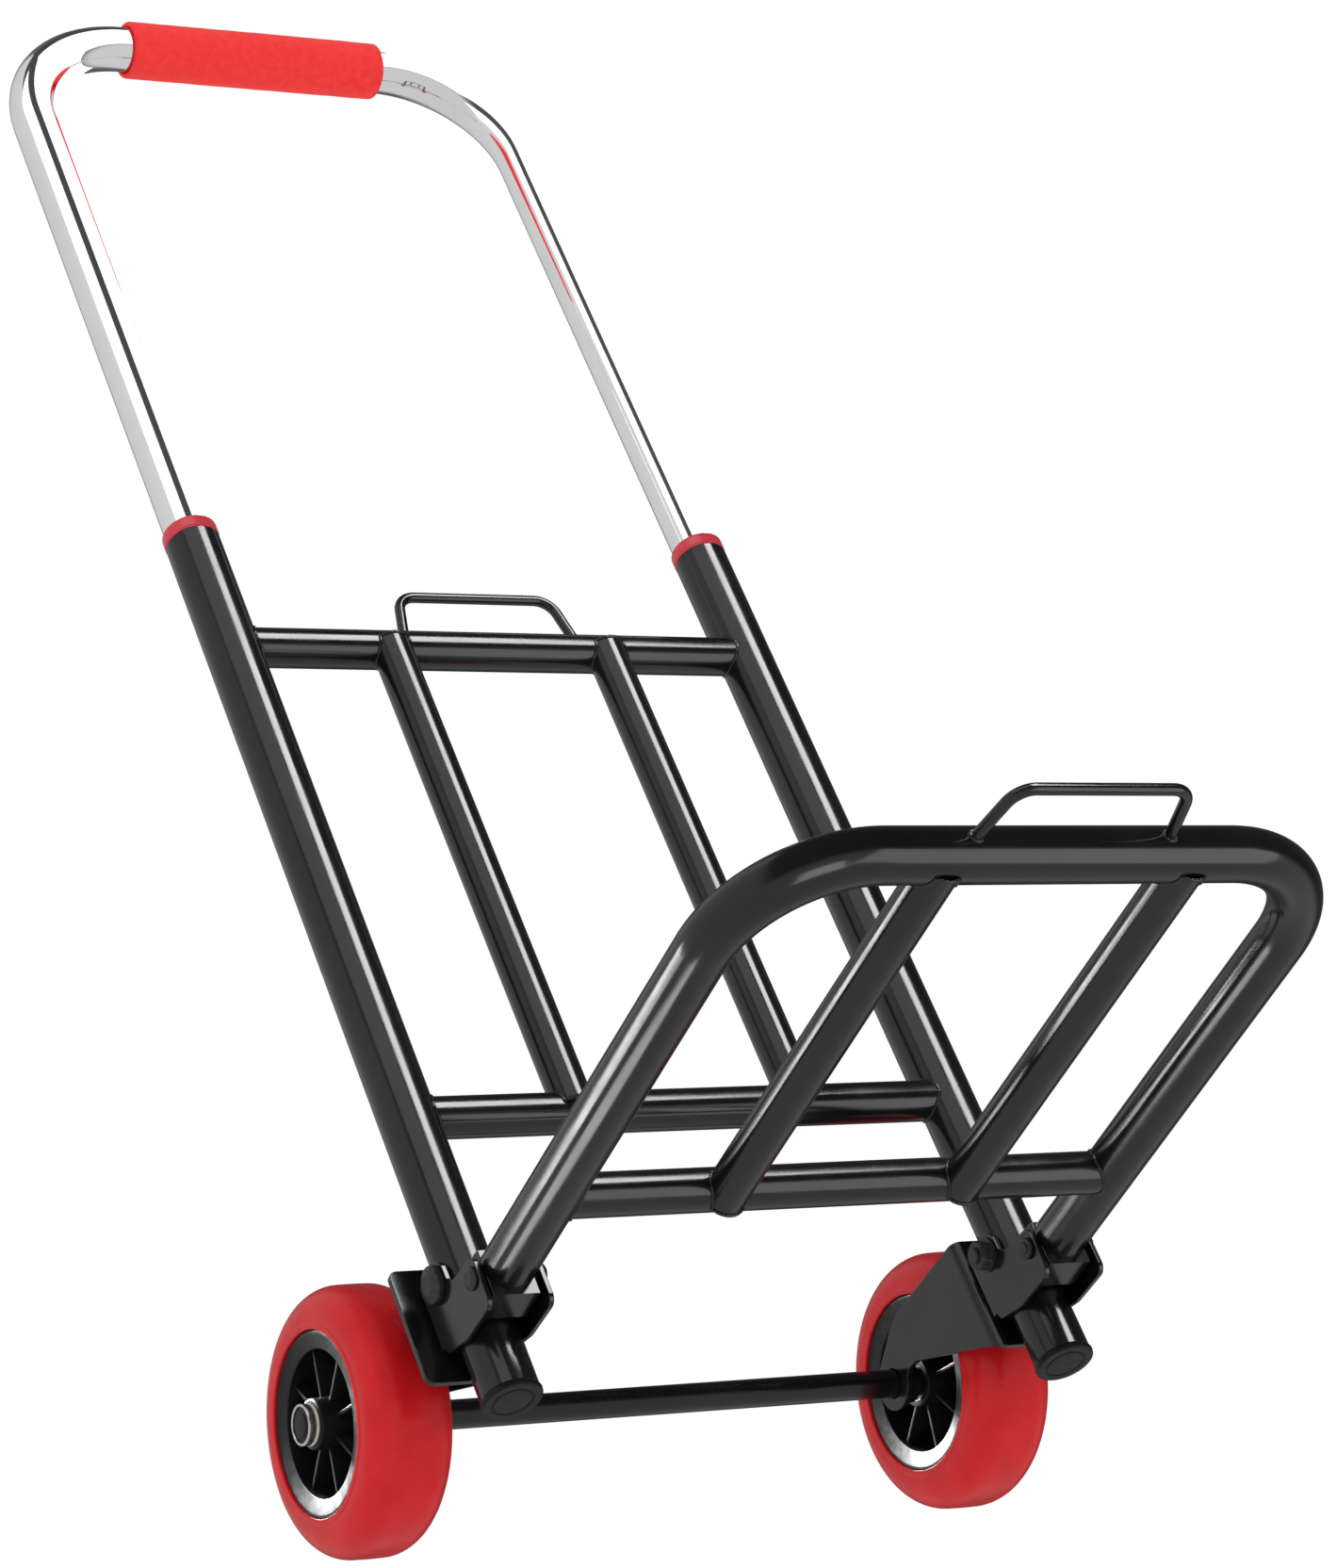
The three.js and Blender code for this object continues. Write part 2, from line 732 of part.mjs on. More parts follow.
// The solid hinge end in each platform tube: a plug, an eye round the pivot pin, and a toe that
// meets the front of the rail when the platform is down.
function addHingeEnds() {
  const eyeFrontY = platformEndY + gap;
  const lean = Math.asin((eyeFrontY - pivotY) / eyeRadius);
  const outline = new THREE.Shape();
  outline.moveTo(eyeFrontY, pivotZ - eyeRadius);
  outline.lineTo(toeEndY, pivotZ - eyeRadius);
  outline.lineTo(toeEndY, pivotZ);
  outline.lineTo(pivotY + eyeRadius, pivotZ);
  outline.absarc(pivotY, pivotZ, eyeRadius, 0, Math.PI / 2 - lean, false);
  outline.closePath();
  const eye = sidePlate(outline, eyeInner, eyeOuter, 10);
  const plug = bar(platformBore - gap, platformEndY - 28, eyeFrontY + 0.7, 'y', barSides);
  plug.translate(track, 0, 0);
  const pinHole = hole(pinRadius, eyeInner - 1, eyeOuter + 1, 'x').translate(0, pivotY, pivotZ);
  addPair('platform_hinge_end', cut(join(eye, plug), pinHole), blackPaint);
}

addRails();
addLadder();
addUpperLoop();
addHinges();
addWheelBrackets();
addAxle();
addWheels();
addHandle();
addLocks();
addPlatform();
addHingeEnds();

// The origin is the middle of the footprint on the floor.
const frontY = platformLoopY - wireRadius;
const rearY = axleY + wheelRadius;
truck.position.set(0, -(frontY + rearY) / 2, floorDrop);

export default truck;
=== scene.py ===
"""Looks of the folding hand truck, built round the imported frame. Metres, in the frame's own axes."""

import json
import math

import bpy
import bmesh
from mathutils import Matrix, Vector, noise


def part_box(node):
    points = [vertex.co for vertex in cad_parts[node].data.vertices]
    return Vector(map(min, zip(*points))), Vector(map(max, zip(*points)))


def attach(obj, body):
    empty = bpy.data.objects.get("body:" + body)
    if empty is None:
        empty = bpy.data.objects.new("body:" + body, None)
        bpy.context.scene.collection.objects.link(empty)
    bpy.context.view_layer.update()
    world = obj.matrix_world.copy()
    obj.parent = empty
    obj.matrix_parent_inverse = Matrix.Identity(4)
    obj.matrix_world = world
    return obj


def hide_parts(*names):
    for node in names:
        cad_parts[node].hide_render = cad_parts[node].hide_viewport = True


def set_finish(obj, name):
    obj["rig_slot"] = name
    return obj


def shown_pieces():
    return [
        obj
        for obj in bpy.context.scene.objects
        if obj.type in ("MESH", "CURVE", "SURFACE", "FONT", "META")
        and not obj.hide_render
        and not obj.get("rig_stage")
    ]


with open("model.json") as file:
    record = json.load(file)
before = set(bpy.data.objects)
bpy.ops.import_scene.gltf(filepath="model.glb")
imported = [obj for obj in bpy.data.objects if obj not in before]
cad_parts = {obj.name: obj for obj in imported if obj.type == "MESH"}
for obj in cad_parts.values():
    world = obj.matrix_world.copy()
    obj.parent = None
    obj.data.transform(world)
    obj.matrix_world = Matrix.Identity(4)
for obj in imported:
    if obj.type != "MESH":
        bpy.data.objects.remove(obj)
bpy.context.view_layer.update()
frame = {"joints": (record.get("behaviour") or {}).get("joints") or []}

MM = 0.001
X = Vector((1, 0, 0))
Y = Vector((0, 1, 0))
Z = Vector((0, 0, 1))
HANDS = ((1, "right"), (-1, "left"))

# ---- sizes that the looks add ----

TUBE_SIDES = 64
WIRE_SIDES = 24
SMALL_SIDES = 48
RIVET_SIDES = 40
COLLAR_SIDES = 96
GRIP_SIDES = 96
BENT_TUBE_SIDES = 72
WHEEL_SIDES = 144
LONG_BEND_STEPS = 40
WIRE_BEND_STEPS = 14
LEAF_BEND_STEPS = 8
EDGE = 0.35 * MM              # softened edge of a cut tube
SINK = 0.5 * MM               # how far a shaped tube end goes into the tube it meets
END_SHARES = (0, 0.25, 0.5, 0.75, 1)    # rings of a shaped end, which follow the other tube
WELD = 0.9 * MM               # radius of a weld bead
WELD_RIPPLE = 0.05            # how much the bead swells at a ripple
WELD_STEPS = 216
WELD_RIPPLES = 30
WIRE_WELD = 1.1 * MM
WIRE_WELD_STEPS = 72
WIRE_WELD_RIPPLES = 12
BEAD_SIDES = 12
SHARP = math.radians(38)      # edges that turn more than this are shaded as edges

RAIL_WALL = 1.0 * MM
HANDLE_WALL = 1.5 * MM
PLATFORM_WALL = 1.1 * MM
HANDLE_BEND = 70 * MM
PLATFORM_BEND = 60 * MM
WIRE_BEND = 11 * MM

# ---- places, from the frame ----


def middle(node):
    low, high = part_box(node)
    return (low + high) / 2


def half(node):
    low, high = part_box(node)
    return (high - low) / 2


rail_low, rail_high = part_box("right_rail")
TRACK = middle("right_rail").x
RAIL_Y = middle("right_rail").y
RAIL_RADIUS = half("right_rail").x
PLANE_Z = middle("platform_frame").z
PLATFORM_RADIUS = half("platform_frame").z
BAR_RADIUS = half("upper_crossbar").z
AXLE_AT = middle("axle")
AXLE_RADIUS = max(half("axle").y, half("axle").z)
WHEEL_X = middle("right_tyre").x


def at_rail(side, z=0):
    """A point on a rail's axis."""
    return Vector((side * TRACK, RAIL_Y, z))


def on_axle(x=0):
    """A point on the axle's middle line."""
    return Vector((x, AXLE_AT.y, AXLE_AT.z))


class Tube:
    """A straight round tube: a point on its axis, the axis and the outer radius."""

    def __init__(self, centre, axis, radius):
        self.centre = centre
        self.axis = axis
        self.radius = radius


# ---- outlines and skins ----


def rounded(points, closed=True, steps=6):
    """A line through corners (u, v, radius), each rounded off by its radius."""
    line = []
    count = len(points)
    for i, (u, v, radius) in enumerate(points):
        corner = Vector((u, v))
        if radius <= 0 or (not closed and i in (0, count - 1)):
            line.append(corner)
            continue
        before = (Vector(points[i - 1][:2]) - corner).normalized()
        after = (Vector(points[(i + 1) % count][:2]) - corner).normalized()
        opening = before.angle(after)
        centre = corner + (before + after).normalized() * (radius / math.sin(opening / 2))
        reach = radius / math.tan(opening / 2)
        first = corner + before * reach - centre
        last = corner + after * reach - centre
        turn = math.atan2(first.x * last.y - first.y * last.x, first.dot(last))
        for step in range(steps + 1):
            line.append(centre + Matrix.Rotation(turn * step / steps, 2) @ first)
    return line


def arc(centre, radius, start, end, steps):
    """Points of an arc, with its angles in degrees."""
    points = []
    for step in range(steps + 1):
        angle = math.radians(start + (end - start) * step / steps)
        points.append(Vector((centre[0] + radius * math.cos(angle), centre[1] + radius * math.sin(angle))))
    return points


def skin(rings, closed=False):
    """Vertices and faces of a surface over rings of points. A ring of one point is a pole."""
    vertices = []
    starts = []
    for ring in rings:
        starts.append(len(vertices))
        vertices.extend(ring)
    faces = []
    last = len(rings) if closed else len(rings) - 1
    for i in range(last):
        j = (i + 1) % len(rings)
        here, there = len(rings[i]), len(rings[j])
        sides = max(here, there)
        for k in range(sides):
            after = (k + 1) % sides
            corners = [
                starts[i] + k % here,
                starts[i] + after % here,
                starts[j] + after % there,
                starts[j] + k % there,
            ]
            face = list(dict.fromkeys(corners))
            if len(face) > 2:
                faces.append(face)
    return vertices, faces


def circle(centre, across, up, radius, sides, flats=None):
    """A ring of points. With flats, it is cut down to a hexagon of that half width."""
    ring = []
    for k in range(sides):
        angle = 2 * math.pi * k / sides
        reach = radius
        if flats:
            reach = min(radius, flats / math.cos(angle % (math.pi / 3) - math.pi / 6))
        ring.append(centre + (across * math.cos(angle) + up * math.sin(angle)) * reach)
    return ring


def lathe(profile, centre, axis, sides=TUBE_SIDES, closed=True):
    """A profile of (radius, height) or (radius, height, flats) turned round an axis."""
    across = axis.orthogonal().normalized()
    up = axis.cross(across)
    rings = []
    for point in profile:
        at = centre + axis * point[1]
        if point[0] < 1e-7:
            rings.append([at])
        else:
            flats = point[2] if len(point) > 2 else None
            rings.append(circle(at, across, up, point[0], sides, flats))
    return skin(rings, closed)


def stations(corners, bend, steps):
    """Points and directions along a path that is straight between corners and bends round them."""
    ways = [(b - a).normalized() for a, b in zip(corners, corners[1:])]
    line = [(corners[0], ways[0])]
    for corner, before, after in zip(corners[1:-1], ways, ways[1:]):
        turn = before.angle(after)
        centre = corner + (after - before).normalized() * (bend / math.cos(turn / 2))
        axis = before.cross(after).normalized()
        spoke = before.cross(axis) * bend
        for step in range(steps + 1):
            swing = Matrix.Rotation(turn * step / steps, 3, axis)
            line.append((centre + swing @ spoke, swing @ before))
    line.append((corners[-1], ways[-1]))
    return line


def tube(line, normal, radius, bore=0.0, sides=TUBE_SIDES):
    """A tube, or a solid rod when bore is 0, along stations that lie in one plane."""
    first, first_way = line[0]
    last, last_way = line[-1]
    inner = line[1:-1]
    rows = [(first, first_way, radius - EDGE), (first + first_way * EDGE, first_way, radius)]
    rows += [(point, way, radius) for point, way in inner]
    rows += [(last - last_way * EDGE, last_way, radius), (last, last_way, radius - EDGE)]
    if bore:
        rows += [(last, last_way, bore)]
        rows += [(point, way, bore) for point, way in reversed(inner)]
        rows += [(first, first_way, bore)]
    rings = [circle(point, normal, way.cross(normal), reach, sides) for point, way, reach in rows]
    if not bore:
        rings = [[first], *rings, [last]]
    return skin(rings, closed=bool(bore))


# ---- tubes shaped to other tubes, and their welds ----


def reach(point, way, hub):
    """How far a point goes along a way before it meets the near side of a tube."""
    across = way - hub.axis * way.dot(hub.axis)
    off = point - hub.centre
    off -= hub.axis * off.dot(hub.axis)
    middle_way = off.dot(across)
    inside = middle_way ** 2 - across.length_squared * (off.length_squared - hub.radius ** 2)
    return (-middle_way - math.sqrt(max(inside, 0))) / across.length_squared


def shaped_tube(body, first, last, sides=TUBE_SIDES):
    """The skin of a tube whose two ends fit round the tubes that it meets."""
    across = body.axis.orthogonal().normalized()
    up = body.axis.cross(across)

    def end_ring(share, way, hub):
        ring = circle(body.centre, across, up, body.radius * share, sides) if share else [body.centre]
        return [point + way * (reach(point, way, hub) + SINK) for point in ring]

    low = [end_ring(share, -body.axis, first) for share in END_SHARES]
    high = [end_ring(share, body.axis, last) for share in END_SHARES]
    return skin([*low, *reversed(high)])


def weld_bead(body, way, hub, size=WELD, steps=WELD_STEPS, ripples=WELD_RIPPLES):
    """A rippled bead round the seam where a tube meets another."""
    across = way.orthogonal().normalized()
    up = way.cross(across)
    seam = []
    for i in range(steps):
        angle = 2 * math.pi * i / steps
        out = across * math.cos(angle) + up * math.sin(angle)
        point = body.centre + out * body.radius
        seam.append((point + way * reach(point, way, hub), out))
    rings = []
    for i, (point, out) in enumerate(seam):
        tangent = (seam[(i + 1) % steps][0] - seam[i - 1][0]).normalized()
        away = point - hub.centre
        away -= hub.axis * away.dot(hub.axis)
        proud = (out + away.normalized()).normalized()
        ripple = 1 + WELD_RIPPLE * math.sin(2 * math.pi * ripples * i / steps)
        rings.append(circle(point, proud, tangent.cross(proud), size * ripple, BEAD_SIDES))
    return skin(rings, closed=True)


# ---- sheet metal ----


def flat_sheet(loops, thickness, edge=0.4 * MM):
    """A bmesh of a flat sheet with soft edges. The first loop is the outline, the rest are holes."""
    curve = bpy.data.curves.new("sheet_pattern", "CURVE")
    curve.dimensions = "2D"
    curve.fill_mode = "BOTH"
    curve.extrude = thickness / 2 - edge
    curve.bevel_depth = edge
    curve.bevel_resolution = 2
    for loop in loops:
        spline = curve.splines.new("POLY")
        spline.points.add(len(loop) - 1)
        for point, (u, v) in zip(spline.points, loop):
            point.co = (u, v, 0, 1)
        spline.use_cyclic_u = True
    pattern = bpy.data.objects.new("sheet_pattern", curve)
    bpy.context.scene.collection.objects.link(pattern)
    bpy.context.view_layer.update()
    evaluated = pattern.evaluated_get(bpy.context.evaluated_depsgraph_get())
    mesh = bpy.data.meshes.new_from_object(evaluated)
    bpy.data.objects.remove(pattern)
    sheet = bmesh.new()
    sheet.from_mesh(mesh)
    bmesh.ops.remove_doubles(sheet, verts=sheet.verts, dist=1e-6)
    return sheet


def fold(sheet, folds, start, heading, steps=8):
    """Bends a flat sheet in the XY plane at folds of (place, turn, radius), and stands it up.

    The sheet's x runs along the folded line from start, and its y becomes the height.
    """
    for place, turn, radius in folds:
        for step in range(steps + 1):
            cut = place + abs(turn) * radius * step / steps
            parts = [*sheet.verts, *sheet.edges, *sheet.faces]
            bmesh.ops.bisect_plane(sheet, geom=parts, dist=1e-7, plane_co=(cut, 0, 0), plane_no=(1, 0, 0))
    for vertex in sheet.verts:
        length, height, offset = vertex.co
        at = Vector((start.x, start.y))
        angle = heading
        travelled = 0.0
        for place, turn, radius in folds:
            if length <= place:
                break
            at += Vector((math.cos(angle), math.sin(angle))) * (place - travelled)
            part = min(length - place, abs(turn) * radius)
            swing = math.copysign(part / radius, turn)
            side = math.copysign(radius, turn)
            hub = at + Vector((-math.sin(angle), math.cos(angle))) * side
            angle += swing
            at = hub - Vector((-math.sin(angle), math.cos(angle))) * side
            travelled = place + part
        at += Vector((math.cos(angle), math.sin(angle))) * (length - travelled)
        at += Vector((-math.sin(angle), math.cos(angle))) * offset
        vertex.co = (at.x, at.y, start.z + height)
    return sheet


# ---- materials ----

# Places of the colour sockets on a Mix node.
MIX_FACTOR = 0
MIX_FIRST = 6
MIX_SECOND = 7
MIX_COLOUR = 2


def add_node(tree, kind, inputs=None, **settings):
    """A node. An input that is another node's output is linked, and any other is set."""
    made = tree.nodes.new(kind)
    for name, value in settings.items():
        setattr(made, name, value)
    for name, value in (inputs or {}).items():
        if isinstance(value, bpy.types.NodeSocket):
            tree.links.new(value, made.inputs[name])
        else:
            made.inputs[name].default_value = value
    return made


def mapped(tree, value, start, end, low=0.0, high=1.0, **settings):
    """A value that goes from low to high while the given one goes from start to end."""
    inputs = {"Value": value, "From Min": start, "From Max": end, "To Min": low, "To Max": high}
    return add_node(tree, "ShaderNodeMapRange", inputs, **settings).outputs["Result"]


def mixed(tree, factor, first, second):
    """A colour that goes from the first to the second with the factor."""
    inputs = {MIX_FACTOR: factor, MIX_FIRST: first, MIX_SECOND: second}
    return add_node(tree, "ShaderNodeMix", inputs, data_type="RGBA").outputs[MIX_COLOUR]


class Finish:
    """A Principled material and short ways to drive it with textures over the piece."""

    def __init__(self, name, colour, roughness, **values):
        self.material = bpy.data.materials.new(name)
        self.material.use_nodes = True
        self.tree = self.material.node_tree
        self.shader = self.tree.nodes["Principled BSDF"]
        self.shader.inputs["Base Color"].default_value = (*colour, 1)
        self.shader.inputs["Roughness"].default_value = roughness
        for key, value in values.items():
            self.shader.inputs[key.replace("_", " ")].default_value = value
        self.place = add_node(self.tree, "ShaderNodeTexCoord").outputs["Object"]
        self.relief = None

    def stretched(self, scale):
        mapping = add_node(self.tree, "ShaderNodeMapping", {"Vector": self.place, "Scale": scale})
        return mapping.outputs["Vector"]

    def noise(self, size, detail=2.0, stretch=None):
        """Noise whose features are about size metres across."""
        place = self.stretched(stretch) if stretch else self.place
        inputs = {"Vector": place, "Scale": 1 / size, "Detail": detail}
        return add_node(self.tree, "ShaderNodeTexNoise", inputs).outputs["Fac"]

    def cells(self, size):
        inputs = {"Vector": self.place, "Scale": 1 / size}
        return add_node(self.tree, "ShaderNodeTexVoronoi", inputs).outputs["Distance"]

    def range(self, value, low, high, start=0.3, end=0.7):
        return mapped(self.tree, value, start, end, low, high)

    def tint(self, value, dark, light, start=0.3, end=0.7):
        ramp = add_node(self.tree, "ShaderNodeValToRGB", {"Fac": value})
        first, last = ramp.color_ramp.elements
        first.position = start
        first.color = (*dark, 1)
        last.position = end
        last.color = (*light, 1)
        self.tree.links.new(ramp.outputs["Color"], self.shader.inputs["Base Color"])

    def roughness(self, value, low, high, start=0.3, end=0.7):
        self.tree.links.new(self.range(value, low, high, start, end), self.shader.inputs["Roughness"])

    def bump(self, height, depth, strength=1.0):
        """Adds relief that is depth metres deep."""
        inputs = {"Height": height, "Strength": strength, "Distance": depth}
        if self.relief:
            inputs["Normal"] = self.relief
        self.relief = add_node(self.tree, "ShaderNodeBump", inputs).outputs["Normal"]
        self.tree.links.new(self.relief, self.shader.inputs["Normal"])


def powder_coat():
    """Gloss black powder coat: orange peel, faint cloudiness and a few dull rubbed patches."""
    paint = Finish("gloss_black_powder_coat", (0.006, 0.006, 0.007), 0.16)
    paint.tint(paint.noise(60 * MM, 3), (0.004, 0.004, 0.0045), (0.009, 0.009, 0.010))
    paint.roughness(paint.noise(22 * MM, 5), 0.13, 0.21)
    paint.bump(paint.noise(2.2 * MM, 1), 0.012 * MM)
    paint.bump(paint.noise(0.35 * MM, 2), 0.0015 * MM)
    return paint.material


def bright_chrome():
    """Chrome plate with hairline marks along the tube and faint finger haze."""
    plate = Finish("bright_chrome", (0.93, 0.935, 0.94), 0.05, Metallic=1.0)
    plate.tint(plate.noise(45 * MM, 3), (0.90, 0.905, 0.915), (0.95, 0.952, 0.955))
    plate.roughness(plate.noise(16 * MM, 6), 0.03, 0.085)
    plate.bump(plate.noise(0.5 * MM, 3, (1, 1, 0.03)), 0.0008 * MM)
    return plate.material


def red_foam():
    """Closed-cell foam rubber: fine pores, a soft skin and small dents."""
    foam = Finish("red_foam_rubber", (0.96, 0.030, 0.030), 0.82)
    foam.tint(foam.noise(5 * MM, 6), (0.92, 0.022, 0.024), (1.0, 0.036, 0.034))
    foam.roughness(foam.noise(3 * MM, 4), 0.74, 0.92)
    foam.bump(foam.cells(0.55 * MM), 0.07 * MM, 0.7)
    foam.bump(foam.noise(6 * MM, 3), 0.15 * MM, 0.5)
    foam.shader.inputs["Sheen Weight"].default_value = 0.05
    foam.shader.inputs["Sheen Roughness"].default_value = 0.5
    foam.shader.inputs["Sheen Tint"].default_value = (1.0, 0.55, 0.5, 1)
    return foam.material


def red_plastic():
    """Moulded red plastic with faint flow lines."""
    plastic = Finish("red_moulded_plastic", (0.58, 0.025, 0.045), 0.32)
    plastic.tint(plastic.noise(4 * MM, 4, (1, 1, 3)), (0.52, 0.020, 0.038), (0.64, 0.030, 0.052))
    plastic.roughness(plastic.noise(3 * MM, 4), 0.26, 0.40)
    plastic.bump(plastic.noise(0.25 * MM, 2), 0.008 * MM)
    return plastic.material


def tyre_rubber():
    """Solid red polyurethane: smooth and glossy, a little cloudy."""
    rubber = Finish("red_tyre_rubber", (0.60, 0.008, 0.012), 0.30, Specular_IOR_Level=0.25)
    rubber.tint(rubber.noise(16 * MM, 4), (0.56, 0.006, 0.010), (0.64, 0.011, 0.015))
    rubber.roughness(rubber.noise(9 * MM, 4), 0.24, 0.34)
    rubber.bump(rubber.noise(0.6 * MM, 2), 0.004 * MM)
    return rubber.material


def black_plastic():
    """Black moulded plastic with a fine satin grain."""
    plastic = Finish("black_moulded_plastic", (0.008, 0.008, 0.009), 0.38, Specular_IOR_Level=0.2)
    plastic.tint(plastic.noise(18 * MM, 4), (0.006, 0.006, 0.007), (0.011, 0.011, 0.012))
    plastic.roughness(plastic.noise(5 * MM, 5), 0.30, 0.46)
    plastic.bump(plastic.cells(0.35 * MM), 0.010 * MM, 0.8)
    return plastic.material


def bush_nylon():
    """Natural nylon, slightly uneven in colour."""
    nylon = Finish("natural_nylon", (0.62, 0.60, 0.54), 0.42)
    nylon.tint(nylon.noise(3 * MM, 4), (0.56, 0.54, 0.47), (0.67, 0.65, 0.59))
    nylon.roughness(nylon.noise(2 * MM, 3), 0.36, 0.50)
    nylon.bump(nylon.noise(0.3 * MM, 2), 0.006 * MM)
    return nylon.material


def zinc_plate():
    """Bright zinc with fine spangle and turning marks."""
    zinc = Finish("zinc_plate", (0.62, 0.63, 0.65), 0.30, Metallic=1.0)
    zinc.tint(zinc.noise(2.5 * MM, 5), (0.54, 0.55, 0.58), (0.70, 0.70, 0.70))
    zinc.roughness(zinc.noise(1.5 * MM, 4), 0.22, 0.38)
    zinc.bump(zinc.noise(0.2 * MM, 3, (6, 1, 1)), 0.004 * MM)
    return zinc.material


def black_steel():
    """Black zinc-plated steel: dark metal with a slight sheen."""
    steel = Finish("black_plated_steel", (0.040, 0.040, 0.042), 0.42, Metallic=0.6)
    steel.tint(steel.noise(3 * MM, 5), (0.032, 0.032, 0.034), (0.050, 0.050, 0.052))
    steel.roughness(steel.noise(2 * MM, 4), 0.36, 0.50)
    steel.bump(steel.noise(0.25 * MM, 3), 0.006 * MM)
    return steel.material


FINISHES = {
    "frame_paint": powder_coat(),
    "chrome": bright_chrome(),
    "grip_foam": red_foam(),
    "collar_plastic": red_plastic(),
    "tyre_rubber": tyre_rubber(),
    "black_plastic": black_plastic(),
    "bush_nylon": bush_nylon(),
    "zinc": zinc_plate(),
    "black_steel": black_steel(),
}

# ---- pieces ----


def place_piece(name, mesh, slot, body, nodes):
    piece = bpy.data.objects.new(name, mesh)
    bpy.context.scene.collection.objects.link(piece)
    mesh.materials.clear()
    mesh.materials.append(FINISHES[slot])
    mesh.shade_smooth()
    mesh.set_sharp_from_angle(angle=SHARP)
    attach(piece, body)
    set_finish(piece, slot)
    if nodes:
        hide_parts(*nodes)
    return piece


def add_piece(name, surface, slot, body, *nodes):
    """Makes a piece of a skin's vertices and faces, in place of the CAD nodes."""
    mesh = bpy.data.meshes.new(name)
    mesh.from_pydata(surface[0], [], surface[1])
    return place_piece(name, mesh, slot, body, nodes)


def add_sheet_piece(name, sheet, side, slot, body, *nodes):
    """Makes a piece of folded sheet, turned over for the left side."""
    if side < 0:
        for vertex in sheet.verts:
            vertex.co.x = -vertex.co.x
    bmesh.ops.recalc_face_normals(sheet, faces=sheet.faces)
    mesh = bpy.data.meshes.new(name)
    sheet.to_mesh(mesh)
    sheet.free()
    piece = place_piece(name, mesh, slot, body, nodes)
    even = piece.modifiers.new("even_shading", "WEIGHTED_NORMAL")
    even.keep_sharp = True
    return piece


def together(*surfaces):
    """Several skins as one."""
    vertices = []
    faces = []
    for more_vertices, more_faces in surfaces:
        start = len(vertices)
        vertices.extend(more_vertices)
        faces.extend([[start + index for index in face] for face in more_faces])
    return vertices, faces


def carve(surface, *cutters):
    """The skin that is left when cutters are taken away from a solid."""
    made = []
    for i, (vertices, faces) in enumerate((surface, together(*cutters))):
        mesh = bpy.data.meshes.new("carving")
        mesh.from_pydata(vertices, [], faces)
        obj = bpy.data.objects.new(f"carving_{i}", mesh)
        bpy.context.scene.collection.objects.link(obj)
        made.append(obj)
    solid, cutter = made
    cutting = solid.modifiers.new("cut", "BOOLEAN")
    cutting.operation = "DIFFERENCE"
    cutting.solver = "EXACT"
    cutting.object = cutter
    bpy.context.view_layer.update()
    result = solid.evaluated_get(bpy.context.evaluated_depsgraph_get()).to_mesh()
    vertices = [vertex.co.copy() for vertex in result.vertices]
    faces = [list(polygon.vertices) for polygon in result.polygons]
    for obj in made:
        bpy.data.objects.remove(obj)
    return vertices, faces


def plug(centre, axis, radius, start, end, sides=32):
    """A plain round cutter."""
    profile = [(0, start), (radius, start), (radius, end), (0, end)]
    return lathe(profile, centre, axis, sides, closed=False)


def ring_profile(outer, inner, start, end, rounding):
    """A ring's section, with its outer edges rounded."""
    return rounded([
        (inner, start, 0),
        (outer, start, rounding),
        (outer, end, rounding),
        (inner, end, 0),
    ])


def add_turned_pair(piece, node, section, axis, slot, body, z=0, sides=TUBE_SIDES, closed=False):
    """A section turned round an axis through a point on each rail's axis."""
    for side, hand in HANDS:
        surface = lathe(section, at_rail(side, z), axis, sides, closed)
        add_piece(f"{hand}_{piece}", surface, slot, body, f"{hand}_{node}")


# ---- back frame ----

UPPER_BAR = Tube(middle("upper_crossbar"), X, BAR_RADIUS)
LOWER_BAR = Tube(middle("lower_crossbar"), X, BAR_RADIUS)


def rail(side):
    return Tube(at_rail(side), Z, RAIL_RADIUS)


def add_rails():
    """The rails, each with a hole for the lock button at both ends of the handle's travel."""
    hole = 4.2 * MM
    button = middle("right_lock_button")
    travel = abs(frame["joints"][0]["range_m"][0])
    for side, hand in HANDS:
        foot = at_rail(side, rail_low.z)
        top = at_rail(side, rail_high.z)
        line = [(foot, Z), (foot.lerp(top, 0.5), Z), (top, Z)]
        shell = tube(line, X, RAIL_RADIUS, RAIL_RADIUS - RAIL_WALL)
        holes = []
        for z in (button.z, button.z - travel):
            holes.append(plug(at_rail(side, z), Y, hole, RAIL_RADIUS - 4 * MM, RAIL_RADIUS + 2 * MM))
        add_piece(f"{hand}_rail_tube", carve(shell, *holes), "frame_paint", "root", f"{hand}_rail")


def add_collars():
    low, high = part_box("right_rail_collar")
    outer = RAIL_RADIUS + 0.25 * MM
    bore = half("handle_tube").y + 0.25 * MM
    section = rounded([
        (bore, low.z, 0.2 * MM),
        (outer - 0.5 * MM, low.z, 0.2 * MM),
        (outer - 0.5 * MM, low.z + 0.7 * MM, 0.15 * MM),
        (outer, low.z + 1.1 * MM, 0.3 * MM),
        (outer, high.z, 1.6 * MM),
        (bore, high.z, 0.5 * MM),
    ])
    add_turned_pair("collar_ring", "rail_collar", section, Z, "collar_plastic", "root",
                    sides=COLLAR_SIDES, closed=True)


